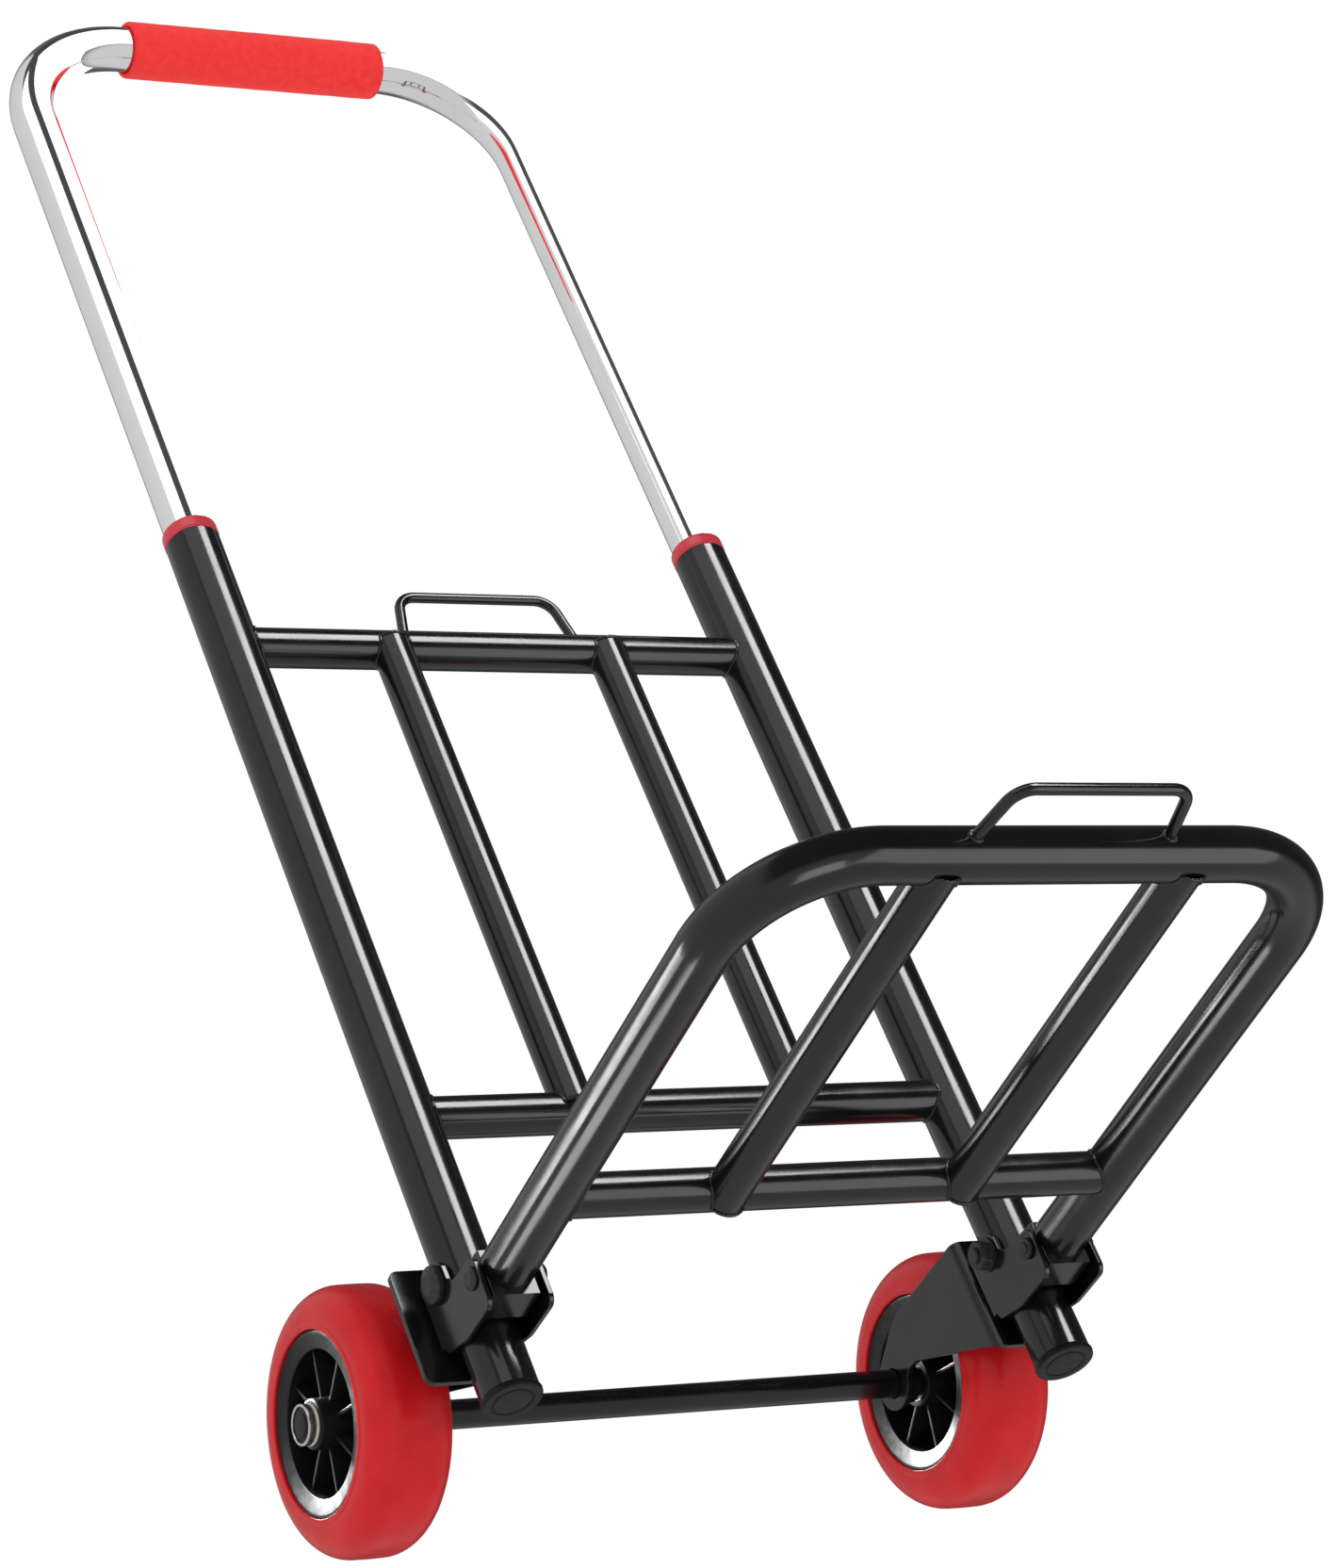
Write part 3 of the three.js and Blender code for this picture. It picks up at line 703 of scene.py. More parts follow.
def add_foot_caps():
    outer = half("right_foot_cap").x
    top = rail_low.z - 0.2 * MM
    plug_radius = RAIL_RADIUS - RAIL_WALL - 0.3 * MM
    plug_top = top + 20 * MM
    groove = 0.5 * MM
    section = rounded([
        (0, 0, 0),
        (9 * MM, 0, 0.2 * MM),
        (9.3 * MM, groove, 0.1 * MM),
        (10 * MM, groove, 0.1 * MM),
        (10.3 * MM, 0, 0.2 * MM),
        (outer - 0.6 * MM, 0, 1.0 * MM),
        (outer - 0.2 * MM, top, 0.7 * MM),
        (plug_radius, top, 0.2 * MM),
        (plug_radius, plug_top, 2 * MM),
        (0, plug_top, 0),
    ], closed=False)
    add_turned_pair("foot_plug", "foot_cap", section, Z, "black_plastic", "root")


def add_bar(piece, bar, ends, body, node):
    """A painted tube between two others. Its ends are (weld's name, way out, tube that it meets)."""
    first, last = sorted(ends, key=lambda end: end[1].dot(bar.axis))
    add_piece(piece, shaped_tube(bar, first[2], last[2]), "frame_paint", body, node)
    for name, way, hub in ends:
        add_piece(name, weld_bead(bar, way, hub), "frame_paint", body)


def add_ladder():
    for name, bar in (("upper", UPPER_BAR), ("lower", LOWER_BAR)):
        ends = [(f"{name}_{hand}_crossbar_weld", X * side, rail(side)) for side, hand in HANDS]
        add_bar(f"{name}_crossbar_tube", bar, ends, "root", f"{name}_crossbar")
    for _, hand in HANDS:
        node = f"{hand}_inner_rail"
        bar = Tube(middle(node), Z, half(node).x)
        ends = ((f"upper_{node}_weld", Z, UPPER_BAR), (f"lower_{node}_weld", -Z, LOWER_BAR))
        add_bar(f"{node}_tube", bar, ends, "root", node)


def half_wire(name):
    """Radius of a wire loop: it is the loop's least half size."""
    return min(half(name))


def add_wire_loop(name, body, hub, way, top):
    """A bent wire loop that stands on a tube, with a weld at each foot."""
    lean_in = 6 * MM
    root = 2 * MM
    foot_x = half(name).x - half_wire(name)
    corner_x = foot_x - lean_in
    foot = hub.centre + way * (hub.radius - root)
    corners = [
        foot - X * foot_x,
        top - X * corner_x,
        top + X * corner_x,
        foot + X * foot_x,
    ]
    normal = X.cross(way)
    radius = half_wire(name)
    surface = tube(stations(corners, WIRE_BEND, WIRE_BEND_STEPS), normal, radius, sides=WIRE_SIDES)
    add_piece(f"{name}_wire", surface, "frame_paint", body, name)
    for side, hand in HANDS:
        lean = (corners[1] - corners[0]).normalized()
        lean.x *= -side
        wire = Tube(foot + X * side * foot_x, -lean, radius)
        bead = weld_bead(wire, -lean, hub, WIRE_WELD, WIRE_WELD_STEPS, WIRE_WELD_RIPPLES)
        add_piece(f"{name}_{hand}_weld", bead, "frame_paint", body)


def add_upper_loop():
    top = Vector((0, RAIL_Y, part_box("upper_loop")[1].z - half_wire("upper_loop")))
    add_wire_loop("upper_loop", "root", UPPER_BAR, Z, top)


# ---- hinges and wheel brackets ----

CLEVIS_SHEET = 2.5 * MM
CLEVIS_BEND = 3.2 * MM
BRACKET_SHEET = 3.0 * MM
BRACKET_BEND = 4.0 * MM
PIN_AT = (-30, -2)            # platform pivot, from the rail's axis and the platform's plane
BOLT_AT = (0, 16)


def cheek_outline():
    """One cheek of the clevis, from its lower back corner round the nose to its upper one."""
    lower = rounded([
        (11.2, -10, 0),
        (9, -14.5, 2),
        (-9, -19.5, 10),
        (-36, -20.7, 4.5),
        (-36, 6, 4.5),
        (-14, 8, 12),
        (-9.6, 12.5, 0),
    ], closed=False)
    boss = arc(BOLT_AT, 10, 160, 55, 12)
    return [*lower, *boss, Vector((9, 24)), Vector((11.2, 24))]


def round_hole(u, v, radius, steps=32):
    return arc((u, v), radius, 0, 360 - 360 / steps, steps - 1)


def clevis_sheet():
    low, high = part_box("right_hinge_clevis")
    mid_y = high.y - CLEVIS_SHEET / 2 - 0.3 * MM
    fold_y = mid_y - CLEVIS_BEND
    inner_x = low.x + CLEVIS_SHEET / 2
    outer_x = high.x - CLEVIS_SHEET / 2
    quarter = math.pi / 2
    web = outer_x - inner_x - 2 * CLEVIS_BEND
    second = quarter * CLEVIS_BEND + web
    end = second + quarter * CLEVIS_BEND

    def inner(y, z):
        return (y * MM + RAIL_Y - fold_y, z * MM)

    def outer(y, z):
        return (end - (y * MM + RAIL_Y - fold_y), z * MM)

    outline = [inner(y, z) for y, z in cheek_outline()]
    outline += [outer(y, z) for y, z in reversed(cheek_outline())]
    loops = [outline]
    for flank in (inner, outer):
        loops.append([flank(y, z) for y, z in round_hole(*BOLT_AT, 4.8)])
        loops.append([flank(y, z) for y, z in round_hole(*PIN_AT, 3.7)])
    sheet = flat_sheet(loops, CLEVIS_SHEET)
    folds = ((0.0, -quarter, CLEVIS_BEND), (second, -quarter, CLEVIS_BEND))
    return fold(sheet, folds, Vector((inner_x, fold_y, PLANE_Z)), quarter)


def bracket_sheet():
    low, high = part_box("right_wheel_bracket")
    mid_y = low.y + BRACKET_SHEET / 2
    fold_y = mid_y + BRACKET_BEND
    arm_x = low.x + BRACKET_SHEET / 2
    quarter = math.pi / 2
    end = quarter * BRACKET_BEND + high.x - arm_x - BRACKET_BEND
    axle_y = (AXLE_AT.y - RAIL_Y) / MM
    axle_z = (AXLE_AT.z - PLANE_Z) / MM

    def arm(y, z):
        return (fold_y - RAIL_Y - y * MM, z * MM)

    fold_mm = (fold_y - RAIL_Y) / MM
    lower = rounded([(fold_mm, -21, 0), (29, -17, 6), (86, 14, 14), (93.6, 11, 0)], closed=False)
    lobe = arc((axle_y, axle_z), 13, 205, 423, 30)
    upper = rounded([(110, 27, 0), (90, 37, 10), (80, 39, 8), (fold_mm, 37, 0)], closed=False)
    outline = [arm(*point) for point in lower]
    outline += [arm(*point) for point in lobe]
    outline += [arm(*point) for point in upper[1:]]
    corner = 4 * MM
    flange_start = 6 * MM
    flange_top = 36.6 * MM
    flange_foot = -24 * MM
    outline += rounded([
        (flange_start, flange_top, 0),
        (end, flange_top, corner),
        (end, flange_foot, corner),
        (flange_start, flange_foot, 0),
    ], closed=False)
    loops = [outline, [arm(*point) for point in round_hole(axle_y, axle_z, 7.8)]]
    sheet = flat_sheet(loops, BRACKET_SHEET)
    folds = ((0.0, quarter, BRACKET_BEND),)
    return fold(sheet, folds, Vector((arm_x, fold_y, PLANE_Z)), -quarter)


def add_sheets():
    for side, hand in HANDS:
        add_sheet_piece(f"{hand}_clevis_sheet", clevis_sheet(), side, "frame_paint", "root",
                        f"{hand}_hinge_clevis")
        add_sheet_piece(f"{hand}_bracket_sheet", bracket_sheet(), side, "frame_paint", "root",
                        f"{hand}_wheel_bracket")


def add_hinge_fasteners():
    low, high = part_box("right_clevis_bolt")
    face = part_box("right_hinge_clevis")[1].x + 0.1 * MM
    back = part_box("right_hinge_clevis")[0].x - 0.1 * MM
    head = 9 * MM
    shank = 4 * MM
    bolt = [(0, low.x), (shank - 0.8 * MM, low.x), (shank, low.x + 0.8 * MM), (shank, face)]
    bolt += rounded([
        (shank, face, 0),
        (head, face, 0.5 * MM),
        (head, high.x - 1.8 * MM, 1.2 * MM),
        (4.5 * MM, high.x, 3 * MM),
        (0, high.x, 0),
    ], closed=False)[1:]
    nut_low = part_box("right_clevis_nut")[0].x
    flats = 6.5 * MM
    nut = [
        (shank + 0.1 * MM, nut_low),
        (6.2 * MM, nut_low, flats),
        (7.5 * MM, nut_low + 0.9 * MM, flats),
        (7.5 * MM, back - 1.4 * MM, flats),
        (7.0 * MM, back - 1.2 * MM),
        (8.4 * MM, back - 1.0 * MM),
        (8.4 * MM, back),
        (shank + 0.1 * MM, back),
    ]
    pin_low, pin_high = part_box("right_pivot_pin")
    pin_radius = 3 * MM
    pin = rounded([
        (0, pin_low.x, 0),
        (pin_radius, pin_low.x, 0.6 * MM),
        (pin_radius, face, 0),
        (5.5 * MM, face, 0.3 * MM),
        (5.5 * MM, face + 1.0 * MM, 0.7 * MM),
        (3.4 * MM, pin_high.x, 1.2 * MM),
        (0, pin_high.x, 0),
    ], closed=False)
    clip_low, clip_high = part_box("right_pivot_clip")
    clip = ring_profile(5.2 * MM, pin_radius + 0.1 * MM, clip_low.x, clip_high.x, 0.5 * MM)
    bolt_centre = middle("right_clevis_bolt")
    pin_centre = middle("right_pivot_pin")
    parts = (
        ("bolt_body", "clevis_bolt", bolt, bolt_centre, False),
        ("nut_body", "clevis_nut", nut, bolt_centre, True),
        ("pin_body", "pivot_pin", pin, pin_centre, False),
        ("clip_ring", "pivot_clip", clip, pin_centre, True),
    )
    for side, hand in HANDS:
        for name, node, profile, at, closed in parts:
            surface = lathe(profile, Vector((0, at.y, at.z)), X * side, SMALL_SIDES, closed)
            add_piece(f"{hand}_{name}", surface, "black_steel", "root", f"{hand}_{node}")


def add_rivets():
    for height in ("lower", "upper"):
        low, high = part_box(f"right_{height}_rivet")
        seat = high.y - 2.2 * MM - RAIL_Y
        tail = low.y - RAIL_Y
        shank = 2.4 * MM
        section = rounded([
            (0, tail, 0),
            (shank, tail, 0.5 * MM),
            (shank, seat, 0),
            (4.5 * MM, seat, 0.4 * MM),
            (4.0 * MM, seat + 1.5 * MM, 1.0 * MM),
            (1.8 * MM, seat + 2.3 * MM, 0.8 * MM),
            (0, seat + 1.9 * MM, 0),
        ], closed=False)
        z = middle(f"right_{height}_rivet").z
        name = f"{height}_rivet"
        add_turned_pair(f"{name}_body", name, section, Y, "zinc", "root", z, RIVET_SIDES)


# ---- axle and wheels ----


def add_axle():
    end = half("axle").x
    section = rounded([
        (0, -end, 0),
        (AXLE_RADIUS, -end, 1.2 * MM),
        (AXLE_RADIUS, end, 1.2 * MM),
        (0, end, 0),
    ], closed=False)
    centre = on_axle()
    add_piece("axle_rod", lathe(section, centre, X, closed=False), "frame_paint", "root", "axle")
    bore = AXLE_RADIUS + 0.15 * MM
    cap_low, cap_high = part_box("right_axle_cap")
    cap_radius = 8.3 * MM
    rings = (
        ("axle_collar", 10, 0.8, "frame_paint"),
        ("inner_washer", 11, 0.5, "zinc"),
    )
    for node, outer, rounding, slot in rings:
        low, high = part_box(f"right_{node}")
        section = ring_profile(outer * MM, bore, low.x, high.x, rounding * MM)
        for side, hand in HANDS:
            surface = lathe(section, centre, X * side)
            add_piece(f"{hand}_{node}_ring", surface, slot, "root", f"{hand}_{node}")
    washer_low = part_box("right_outer_washer")[0].x
    cup_radius = 9.8 * MM
    cup_bore = cap_radius + 0.1 * MM
    cup_rim = cap_high.x - 0.4 * MM
    cup_floor = cap_low.x - 0.1 * MM
    cup = rounded([
        (bore, washer_low, 0.2 * MM),
        (cup_radius, washer_low, 0.4 * MM),
        (cup_radius, cup_rim, 0.7 * MM),
        (cup_bore, cup_rim, 0.5 * MM),
        (cup_bore, cup_floor, 0),
        (bore, cup_floor, 0),
    ])
    shoulder = cap_high.x - 1.3 * MM
    cap = rounded([
        (bore, cap_low.x, 0),
        (cap_radius, cap_low.x, 0.3 * MM),
        (cap_radius, shoulder, 0.5 * MM),
        (6.4 * MM, shoulder, 0.5 * MM),
        (5.6 * MM, cap_high.x - 0.5 * MM, 0.8 * MM),
        (0, cap_high.x - 0.3 * MM, 0),
    ], closed=False)
    inside = [(0, end + 0.1 * MM), (bore, end + 0.1 * MM), (bore, cap_low.x)]
    for side, hand in HANDS:
        add_piece(f"{hand}_outer_washer_cup", lathe(cup, centre, X * side), "zinc", "root",
                  f"{hand}_outer_washer")
        surface = lathe([*cap, *inside], centre, X * side, closed=False)
        add_piece(f"{hand}_axle_end_cap", surface, "black_plastic", "root", f"{hand}_axle_cap")


def tyre_section():
    """The tyre's section, with round shoulders and a faint crown."""
    outer = max(half("right_tyre").y, half("right_tyre").z)
    edge = half("right_tyre").x
    seat = 43.5 * MM
    lip = 1.2 * MM
    shoulder = 15 * MM
    key = 5.2 * MM
    crown = 90 * MM
    fall = 0.4 * MM
    flank = [
        (seat, -edge + 1.4 * MM, 0),
        (seat, -edge, 0.8 * MM),
        (seat + 2.6 * MM, -edge, 0.6 * MM),
        (seat + 3.2 * MM, -edge + 0.5 * MM, 0.8 * MM),
        (outer - fall, -edge + 0.2 * MM, shoulder),
    ]
    other_flank = [(u, -v, radius) for u, v, radius in reversed(flank)]
    line = rounded([*flank, (outer, 0, crown), *other_flank], closed=False, steps=14)
    groove = [(seat, key), (seat + lip, key), (seat + lip, -key), (seat, -key)]
    return [*line, *map(Vector, groove)]


def core_section():
    """The section of the wheel's plastic core: boss, web and dished rim."""
    low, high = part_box("right_wheel_core")
    start = low.x - WHEEL_X
    end = high.x - WHEEL_X
    rim = 21.3 * MM
    seat = 43.2 * MM
    dish = 34.5 * MM
    lip = 41.8 * MM
    depth = 19.5 * MM
    web = 1.6 * MM
    boss = 13 * MM
    bore = 9 * MM
    return rounded([
        (bore, start, 0.4 * MM),
        (boss - 0.6 * MM, start, 0.8 * MM),
        (boss, -web, 2.0 * MM),
        (dish - 0.6 * MM, -web, 2.4 * MM),
        (dish, -depth, 0.6 * MM),
        (lip, -rim, 0.5 * MM),
        (seat, -rim, 0.4 * MM),
        (seat, rim, 0.4 * MM),
        (lip, rim, 0.5 * MM),
        (dish, depth, 0.6 * MM),
        (dish - 0.6 * MM, web, 2.4 * MM),
        (boss, web, 2.0 * MM),
        (boss - 1.2 * MM, end, 1.2 * MM),
        (bore, end, 0.5 * MM),
    ])


RIB_COUNT = 8
RIB_PHASE = 18.4              # degrees from +Y towards +Z


def core_ribs(side):
    """Tapered ribs on both sides of the web, thicker at their root."""
    surfaces = []
    inner = 11.5 * MM
    outer = 35.2 * MM
    root = 1.5 * MM
    tip = 0.9 * MM
    soft = 0.35 * MM
    top = 17 * MM
    for i in range(RIB_COUNT):
        angle = math.radians(RIB_PHASE + i * 360 / RIB_COUNT)
        out = Y * math.cos(angle) + Z * math.sin(angle)
        across = X.cross(out)
        for face in (1, -1):
            rings = []
            for distance in (inner, outer):
                at = on_axle(side * WHEEL_X) + out * distance
                section = rounded([
                    (-root, 0, 0),
                    (root, 0, 0),
                    (tip, top, soft),
                    (-tip, top, soft),
                ], steps=3)
                ring = [at + across * u + X * face * v for u, v in section]
                rings.append(ring if face > 0 else ring[::-1])
            surfaces.append(capped(rings))
    return together(*surfaces)


def capped(rings):
    """A skin over rings with a flat face at each end."""
    vertices, faces = skin(rings)
    count = len(rings[0])
    last = len(vertices) - count
    faces.append(list(range(count))[::-1])
    faces.append([last + k for k in range(count)])
    return vertices, faces


def add_wheels():
    tyre = tyre_section()
    core = core_section()
    flange_radius = {"inner": 11 * MM, "outer": 10 * MM}
    for side, hand in HANDS:
        body = f"{hand}_wheel"
        centre = on_axle(side * WHEEL_X)
        surface = lathe(tyre, centre, X * side, WHEEL_SIDES)
        add_piece(f"{hand}_tyre_body", surface, "tyre_rubber", body, f"{hand}_tyre")
        surface = together(lathe(core, centre, X * side, WHEEL_SIDES), core_ribs(side))
        add_piece(f"{hand}_wheel_hub", surface, "black_plastic", body, f"{hand}_wheel_core")
        for place, facing in (("inner", 1), ("outer", -1)):
            node = f"right_{place}_bush"
            low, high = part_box(node)
            start, end = sorted((low.x * facing, high.x * facing))
            bore = AXLE_RADIUS + 0.2 * MM
            barrel = 8.8 * MM
            section = rounded([
                (bore, start, 0.3 * MM),
                (flange_radius[place], start, 0.4 * MM),
                (flange_radius[place], start + 1.2 * MM, 0.2 * MM),
                (barrel, start + 1.2 * MM, 0),
                (barrel, end, 0.4 * MM),
                (bore, end, 0.3 * MM),
            ])
            surface = lathe(section, on_axle(), X * side * facing, SMALL_SIDES)
            add_piece(f"{hand}_{place}_bush_sleeve", surface, "bush_nylon", body, f"{hand}_{place}_bush")


# ---- handle ----


def add_handle():
    """The bent handle tube with its holes for the lock buttons, and its end plugs."""
    hole = 3.9 * MM
    low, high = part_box("handle_tube")
    radius = half("handle_tube").y
    top = high.z - radius
    corners = [at_rail(-1, low.z), at_rail(-1, top), at_rail(1, top), at_rail(1, low.z)]
    bore = radius - HANDLE_WALL
    shell = tube(stations(corners, HANDLE_BEND, LONG_BEND_STEPS), Y, radius, bore, BENT_TUBE_SIDES)
    holes = []
    for side, _ in HANDS:
        at = at_rail(side, middle("right_lock_button").z)
        holes.append(plug(at, Y, hole, bore - 2 * MM, radius + 2 * MM))
    add_piece("handle_chrome_tube", carve(shell, *holes), "chrome", "handle", "handle_tube")
    foot = low.z - 4.6 * MM
    flange = low.z - 0.1 * MM
    flange_radius = radius - 0.1 * MM
    plug_radius = bore - 0.2 * MM
    plug_top = low.z + 24 * MM
    end_plug = rounded([
        (0, foot, 0),
        (flange_radius, foot, 1.4 * MM),
        (flange_radius, flange, 0.3 * MM),
        (plug_radius, flange, 0),
        (plug_radius, plug_top, 2 * MM),
        (0, plug_top, 0),
    ], closed=False)
    add_turned_pair("leg_end_plug", "leg_plug", end_plug, Z, "black_plastic", "handle")


def add_grip():
    """The foam sleeve: slightly uneven, with rolled ends that open round the tube."""
    centre = middle("handle_grip")
    radius = half("handle_grip").z
    bore = half("handle_tube").y + 0.1 * MM
    end = half("handle_grip").x
    steps = 110
    corner = 1.8 * MM
    coarse, coarse_height = 90, 0.16
    fine, fine_height = 420, 0.05
    settled = 0.1 * MM
    flare = 0.9 * MM
    rolled = 2.2 * MM
    line = rounded([
        (bore, -end + rolled, 0),
        (bore + flare, -end, 0.5 * MM),
        (radius, -end, corner),
    ], closed=False)[:-1]
    line += arc((radius - corner, -end + corner), corner, -90, 0, 6)
    for step in range(1, steps):
        line.append(Vector((radius, -end + corner + (2 * end - 2 * corner) * step / steps)))
    line += arc((radius - corner, end - corner), corner, 0, 90, 6)
    line += [Vector((bore + flare, end)), Vector((bore, end - rolled))]
    vertices, faces = lathe(line, centre, X, GRIP_SIDES)
    for i, vertex in enumerate(vertices):
        out = Vector((0, vertex.y - centre.y, vertex.z - centre.z))
        if out.length > bore + 2 * MM:
            swell = noise.noise(vertex * coarse) * coarse_height * MM
            swell += noise.noise(vertex * fine) * fine_height * MM
            vertices[i] = vertex + out.normalized() * (swell - settled)
    grip = add_piece("handle_foam_grip", (vertices, faces), "grip_foam", "handle", "handle_grip")


def add_locks():
    low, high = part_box("right_lock_button")
    start = low.y - RAIL_Y
    tip = high.y - RAIL_Y
    stem = 3.6 * MM
    flange = 5 * MM
    flange_end = start + 1.5 * MM
    section = rounded([
        (0, start, 0),
        (flange, start, 0.3 * MM),
        (flange, flange_end, 0.3 * MM),
        (stem, flange_end, 0.2 * MM),
        (stem, tip, 1.2 * MM),
        (0, tip, 0),
    ], closed=False)
    leaf_thickness = 0.8 * MM
    leaf_half = 3 * MM
    leaf_bend = 1.2 * MM
    box_low, box_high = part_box("right_button_spring")
    back = box_low.y + leaf_thickness / 2
    corners = [
        Vector((0, back, box_high.z)),
        Vector((0, back, box_low.z + 1.5 * MM)),
        Vector((0, box_high.y - leaf_thickness, middle("right_lock_button").z + 2 * MM)),
    ]
    for side, hand in HANDS:
        centre = at_rail(side, middle("right_lock_button").z)
        stud = lathe(section, centre, Y, SMALL_SIDES, closed=False)
        add_piece(f"{hand}_lock_button_stud", stud, "zinc", f"{hand}_button", f"{hand}_lock_button")
        rings = []
        for point, way in stations(corners, leaf_bend, LEAF_BEND_STEPS):
            out = way.cross(X)
            at = point + X * side * TRACK
            section_points = rounded([
                (-leaf_half, -leaf_thickness / 2, 0.3 * MM),
                (leaf_half, -leaf_thickness / 2, 0.3 * MM),
                (leaf_half, leaf_thickness / 2, 0.3 * MM),
                (-leaf_half, leaf_thickness / 2, 0.3 * MM),
            ], steps=2)
            rings.append([at + X * u - out * v for u, v in section_points])
        add_piece(f"{hand}_button_leaf_spring", capped(rings), "zinc", "handle", f"{hand}_button_spring")


# ---- platform ----


def add_platform():
    low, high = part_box("platform_frame")
    front = low.y + PLATFORM_RADIUS
    corners = [
        Vector((-TRACK, high.y, PLANE_Z)),
        Vector((-TRACK, front, PLANE_Z)),
        Vector((TRACK, front, PLANE_Z)),
        Vector((TRACK, high.y, PLANE_Z)),
    ]
    line = stations(corners, PLATFORM_BEND, LONG_BEND_STEPS)
    surface = tube(line, Z, PLATFORM_RADIUS, PLATFORM_RADIUS - PLATFORM_WALL, BENT_TUBE_SIDES)
    add_piece("platform_frame_tube", surface, "frame_paint", "platform", "platform_frame")

    bar = Tube(middle("platform_crossbar"), X, half("platform_crossbar").z)
    ends = []
    for side, hand in HANDS:
        flank = Tube(Vector((side * TRACK, 0, PLANE_Z)), Y, PLATFORM_RADIUS)
        ends.append((f"{hand}_platform_crossbar_weld", X * side, flank))
    add_bar("platform_crossbar_tube", bar, ends, "platform", "platform_crossbar")

    front_tube = Tube(Vector((0, front, PLANE_Z)), X, PLATFORM_RADIUS)
    for _, hand in HANDS:
        node = f"{hand}_platform_rail"
        inner = Tube(middle(node), Y, half(node).x)
        ends = ((f"front_{node}_weld", -Y, front_tube), (f"rear_{node}_weld", Y, bar))
        add_bar(f"{node}_tube", inner, ends, "platform", node)

    top = Vector((0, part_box("platform_loop")[0].y + half_wire("platform_loop"), PLANE_Z))
    add_wire_loop("platform_loop", "platform", front_tube, -Y, top)


def add_hinge_ends():
    """The end block of each platform tube: eye round the pivot pin, toe and plug."""
    toe = (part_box("right_platform_hinge_end")[1].y - RAIL_Y) / MM
    tube_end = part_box("platform_frame")[1].y
    front = (tube_end - RAIL_Y) / MM
    eye = 12.0
    inner_x = 137 * MM
    outer_x = 161 * MM
    lean = math.degrees(math.asin((front - PIN_AT[0]) / eye))
    outline = rounded([
        (front, PIN_AT[1] - eye, 0.6),
        (toe, PIN_AT[1] - eye, 2.4),
        (toe, PIN_AT[1], 1.2),
        (PIN_AT[0] + eye, PIN_AT[1], 0),
    ], closed=False)[:-1]
    outline = [*outline, *arc(PIN_AT, eye, 0, 90 - lean, 14)]
    loops = [[(u * MM, v * MM) for u, v in outline]]
    loops.append([(u * MM, v * MM) for u, v in round_hole(*PIN_AT, 3.9)])
    bore = PLATFORM_RADIUS - PLATFORM_WALL - 0.2 * MM
    plug_start = -28 * MM
    plug_end = 0.4 * MM
    section = rounded([
        (0, plug_start, 0),
        (bore, plug_start, 1.5 * MM),
        (bore, plug_end, 0),
        (0, plug_end, 0),
    ], closed=False)
    for side, hand in HANDS:
        sheet = flat_sheet(loops, outer_x - inner_x, 0.6 * MM)
        for vertex in sheet.verts:
            u, v, depth = vertex.co
            vertex.co = ((inner_x + outer_x) / 2 + depth, RAIL_Y + u, PLANE_Z + v)
        node = f"{hand}_platform_hinge_end"
        add_sheet_piece(f"{hand}_hinge_end_block", sheet, side, "frame_paint", "platform", node)
        surface = lathe(section, Vector((side * TRACK, tube_end, PLANE_Z)), Y, closed=False)
        add_piece(f"{hand}_hinge_end_plug", surface, "frame_paint", "platform")


# ---- stage, lights and camera ----

FOCUS = Vector((0.0, 0.02, 0.38))
LIGHT_DISTANCE = 3.0
CAMERA_AT = Vector((-1.16252, -1.493455, -1.02029))
CAMERA_RIGHT = Vector((0.8635, -0.3834, -0.3276))
CAMERA_UP = Vector((-0.0040, -0.6547, 0.7558))
CAMERA_LENS = 110.09
SENSOR = 36

# Brightness of the studio round the truck as its gloss sees it: (azimuth in degrees, level).
STUDIO_LEVELS = (
    (-180, 0.66),
    (-152, 0.70),
    (-139, 0.08),
    (-40, 0.05),
    (20, 0.08),
    (72, 0.12),
    (96, 0.60),
    (180, 0.66),
)
STUDIO_BELOW = 0.62           # level that gloss sees below the horizon
STUDIO_HORIZON = (-0.40, -0.05)    # heights between which a way leaves that level for the others
STUDIO_DIFFUSE = 1.05         # level that lights the rough surfaces

PANEL_REACH = 0.45            # from the handle legs to the panels in front of them
KEY_WAY = (-0.35, -0.75, 0.55)
PLATFORM_FRAME = "platform_frame_tube"
SLATS = (PLATFORM_FRAME, "left_platform_rail_tube", "right_platform_rail_tube")


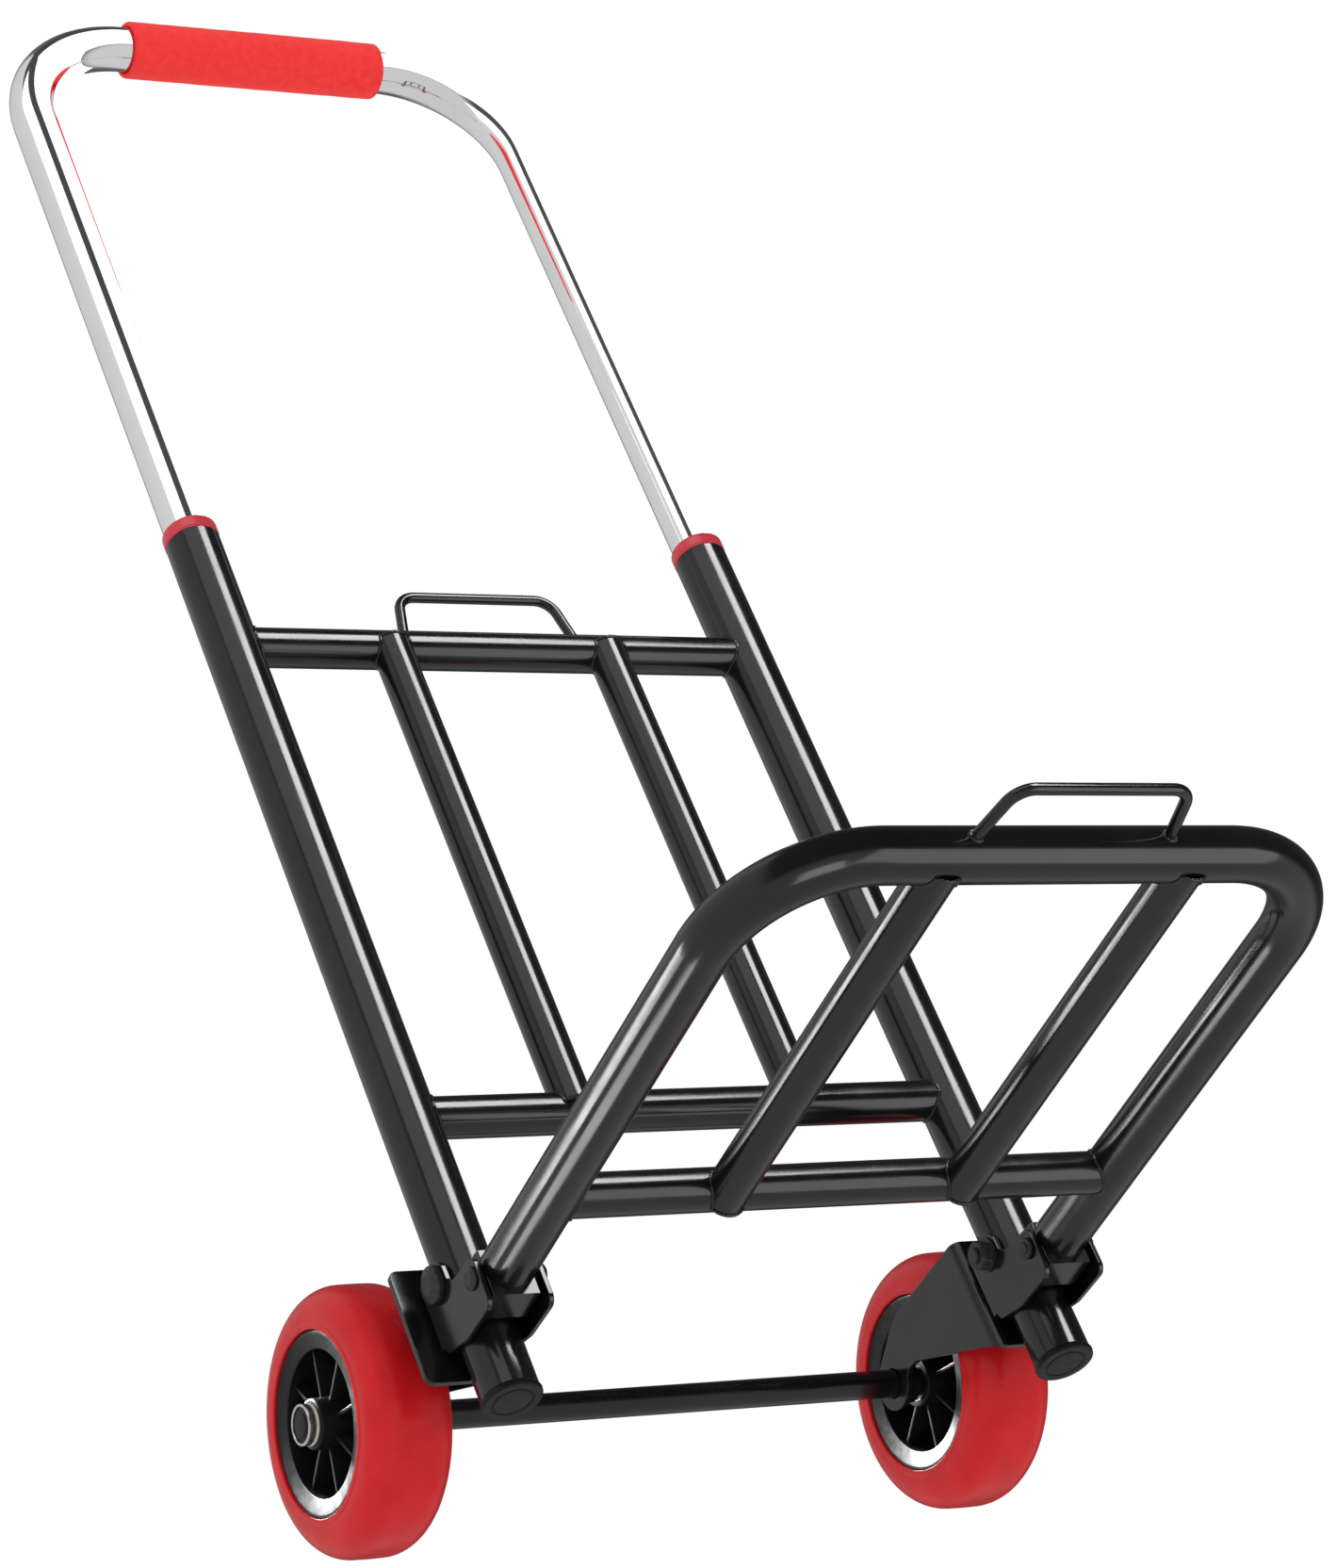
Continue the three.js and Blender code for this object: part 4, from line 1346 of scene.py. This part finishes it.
def add_floor():
    """A pale floor that shows only from above, because the camera looks up from below it."""
    size = 4.0
    corners = [(-size, -size, 0), (size, -size, 0), (size, size, 0), (-size, size, 0)]
    mesh = bpy.data.meshes.new("floor")
    mesh.from_pydata(corners, [], [[0, 1, 2, 3]])
    floor = bpy.data.objects.new("studio_floor", mesh)
    bpy.context.scene.collection.objects.link(floor)
    material = bpy.data.materials.new("pale_floor")
    material.use_nodes = True
    tree = material.node_tree
    shader = tree.nodes["Principled BSDF"]
    shader.inputs["Base Color"].default_value = (0.80, 0.80, 0.80, 1)
    shader.inputs["Roughness"].default_value = 0.7
    from_below = add_node(tree, "ShaderNodeNewGeometry").outputs["Backfacing"]
    see_through = add_node(tree, "ShaderNodeBsdfTransparent").outputs[0]
    mix = add_node(tree, "ShaderNodeMixShader", {0: from_below, 1: shader.outputs[0], 2: see_through})
    tree.links.new(mix.outputs[0], tree.nodes["Material Output"].inputs["Surface"])
    mesh.materials.append(material)
    floor.visible_shadow = False
    floor.visible_glossy = False
    floor.visible_diffuse = False
    floor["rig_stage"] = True


def add_world():
    world = bpy.data.worlds.new("studio")
    bpy.context.scene.world = world
    world.use_nodes = True
    tree = world.node_tree
    tree.nodes.clear()
    place = add_node(tree, "ShaderNodeTexCoord").outputs["Generated"]
    way = add_node(tree, "ShaderNodeSeparateXYZ", {"Vector": place}).outputs
    azimuth = add_node(tree, "ShaderNodeMath", {0: way["Y"], 1: way["X"]}, operation="ARCTAN2")
    share = mapped(tree, azimuth.outputs[0], -math.pi, math.pi)
    ramp = add_node(tree, "ShaderNodeValToRGB", {"Fac": share})
    stops = ramp.color_ramp.elements
    for angle, level in STUDIO_LEVELS:
        if abs(angle) == 180:
            stop = stops[0 if angle < 0 else len(stops) - 1]
        else:
            stop = stops.new((angle + 180) / 360)
        stop.color = (level, level, level, 1)
    above = mapped(tree, way["Z"], *STUDIO_HORIZON, interpolation_type="SMOOTHSTEP")
    rays = add_node(tree, "ShaderNodeLightPath").outputs
    gloss = mixed(tree, above, (*[STUDIO_BELOW] * 3, 1), ramp.outputs["Color"])
    lit = mixed(tree, rays["Is Diffuse Ray"], gloss, (*[STUDIO_DIFFUSE] * 3, 1))
    seen = mixed(tree, rays["Is Camera Ray"], lit, (1, 1, 1, 1))
    background = add_node(tree, "ShaderNodeBackground", {"Color": seen})
    add_node(tree, "ShaderNodeOutputWorld", {"Surface": background.outputs[0]})


def receivers(name, wanted):
    """A collection of the pieces whose finish and name are wanted, for a light that falls only on them."""
    group = bpy.data.collections.new(name)
    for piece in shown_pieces():
        if wanted(piece.get("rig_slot"), piece.name):
            group.objects.link(piece)
    return group


def softbox(name, centre, facing, width, height, radiance, group):
    """A soft panel at centre that looks along facing. It adds gloss to one group of pieces only."""
    light = bpy.data.lights.new(name, "AREA")
    light.shape = "RECTANGLE"
    light.size = width
    light.size_y = height
    light.energy = radiance * 4 * width * height
    obj = bpy.data.objects.new(name, light)
    bpy.context.scene.collection.objects.link(obj)
    obj.location = centre
    obj.rotation_euler = (-facing).to_track_quat("Z", "Y").to_euler()
    obj.visible_camera = False
    obj.visible_diffuse = False
    obj.light_linking.receiver_collection = group


def far_softbox(name, way, width, height, radiance, group):
    """A soft panel seen from the truck in direction way, at the studio's distance."""
    direction = Vector(way).normalized()
    softbox(name, FOCUS + direction * LIGHT_DISTANCE, -direction, width, height, radiance, group)


def upright_panel(name, x_range, z_range, radiance, group):
    """A soft panel that stands in front of the handle, for the bands in the chrome."""
    left, right = x_range
    bottom, top = z_range
    centre = Vector(((left + right) / 2, RAIL_Y - PANEL_REACH, (bottom + top) / 2))
    softbox(name, centre, Y, right - left, top - bottom, radiance, group)


def add_lights():
    own_light = (*SLATS, "axle_rod")
    paint = receivers("painted", lambda slot, name: slot == "frame_paint" and name not in own_light)
    front = receivers("platform_front", lambda slot, name: name == PLATFORM_FRAME)
    slats = receivers("platform_slats", lambda slot, name: name in SLATS)
    chrome = receivers("chromed", lambda slot, name: slot == "chrome")
    hubs = receivers("hubs", lambda slot, name: name.endswith("wheel_hub"))
    metal = receivers("plated", lambda slot, name: slot in ("zinc", "collar_plastic"))
    low_fill = receivers("low_filled", lambda slot, name: slot == "frame_paint" and name != "axle_rod")

    far_softbox("paint_strip", (0.36, -0.80, 0.50), width=1.2, height=1.6, radiance=11, group=paint)
    far_softbox("slat_edge", (-0.743, 0.651, 0.154), width=0.30, height=1.6, radiance=12, group=slats)
    near_centre = Vector((-0.52, 0.42, -0.30))
    near_facing = Vector((0.6, -0.66, 0.45))
    softbox("near_side", near_centre, near_facing, width=0.22, height=0.30, radiance=5, group=front)
    far_softbox("front_bend", (-0.20, -0.62, -0.76), width=1.2, height=1.2, radiance=2.4, group=front)
    far_softbox("paint_low", (0.50, -0.62, -0.60), width=2.4, height=2.0, radiance=1.3, group=low_fill)
    far_softbox("paint_key", KEY_WAY, width=2.5, height=2.5, radiance=0.9, group=paint)
    upright_panel("chrome_left", x_range=(-1.2, -0.30), z_range=(0.65, 2.2), radiance=0.95, group=chrome)
    upright_panel("chrome_right", x_range=(-0.06, 1.6), z_range=(0.77, 2.2), radiance=1.0, group=chrome)
    far_softbox("chrome_side", (0.82, 0.10, 0.5), width=5.2, height=4.2, radiance=0.95, group=chrome)
    far_softbox("hub_rim", (-0.18, 0.59, 0.79), width=1.5, height=1.5, radiance=130, group=hubs)
    far_softbox("plated_key", KEY_WAY, width=2.5, height=2.5, radiance=1.2, group=metal)


def add_camera():
    camera = bpy.data.cameras.new("camera")
    camera.lens = CAMERA_LENS
    camera.sensor_width = SENSOR
    camera.sensor_fit = "AUTO"
    camera.clip_start = 0.05
    obj = bpy.data.objects.new("camera", camera)
    bpy.context.scene.collection.objects.link(obj)
    right = CAMERA_RIGHT.normalized()
    back = right.cross(CAMERA_UP).normalized()
    up = back.cross(right)
    turn = Matrix((right, up, back)).transposed()
    obj.matrix_world = Matrix.Translation(CAMERA_AT) @ turn.to_4x4()
    bpy.context.scene.camera = obj


add_rails()
add_collars()
add_foot_caps()
add_ladder()
add_upper_loop()
add_sheets()
add_hinge_fasteners()
add_rivets()
add_axle()
add_wheels()
add_handle()
add_grip()
add_locks()
add_platform()
add_hinge_ends()
add_floor()
add_world()
add_lights()
add_camera()
bpy.context.scene.view_settings.view_transform = "Standard"
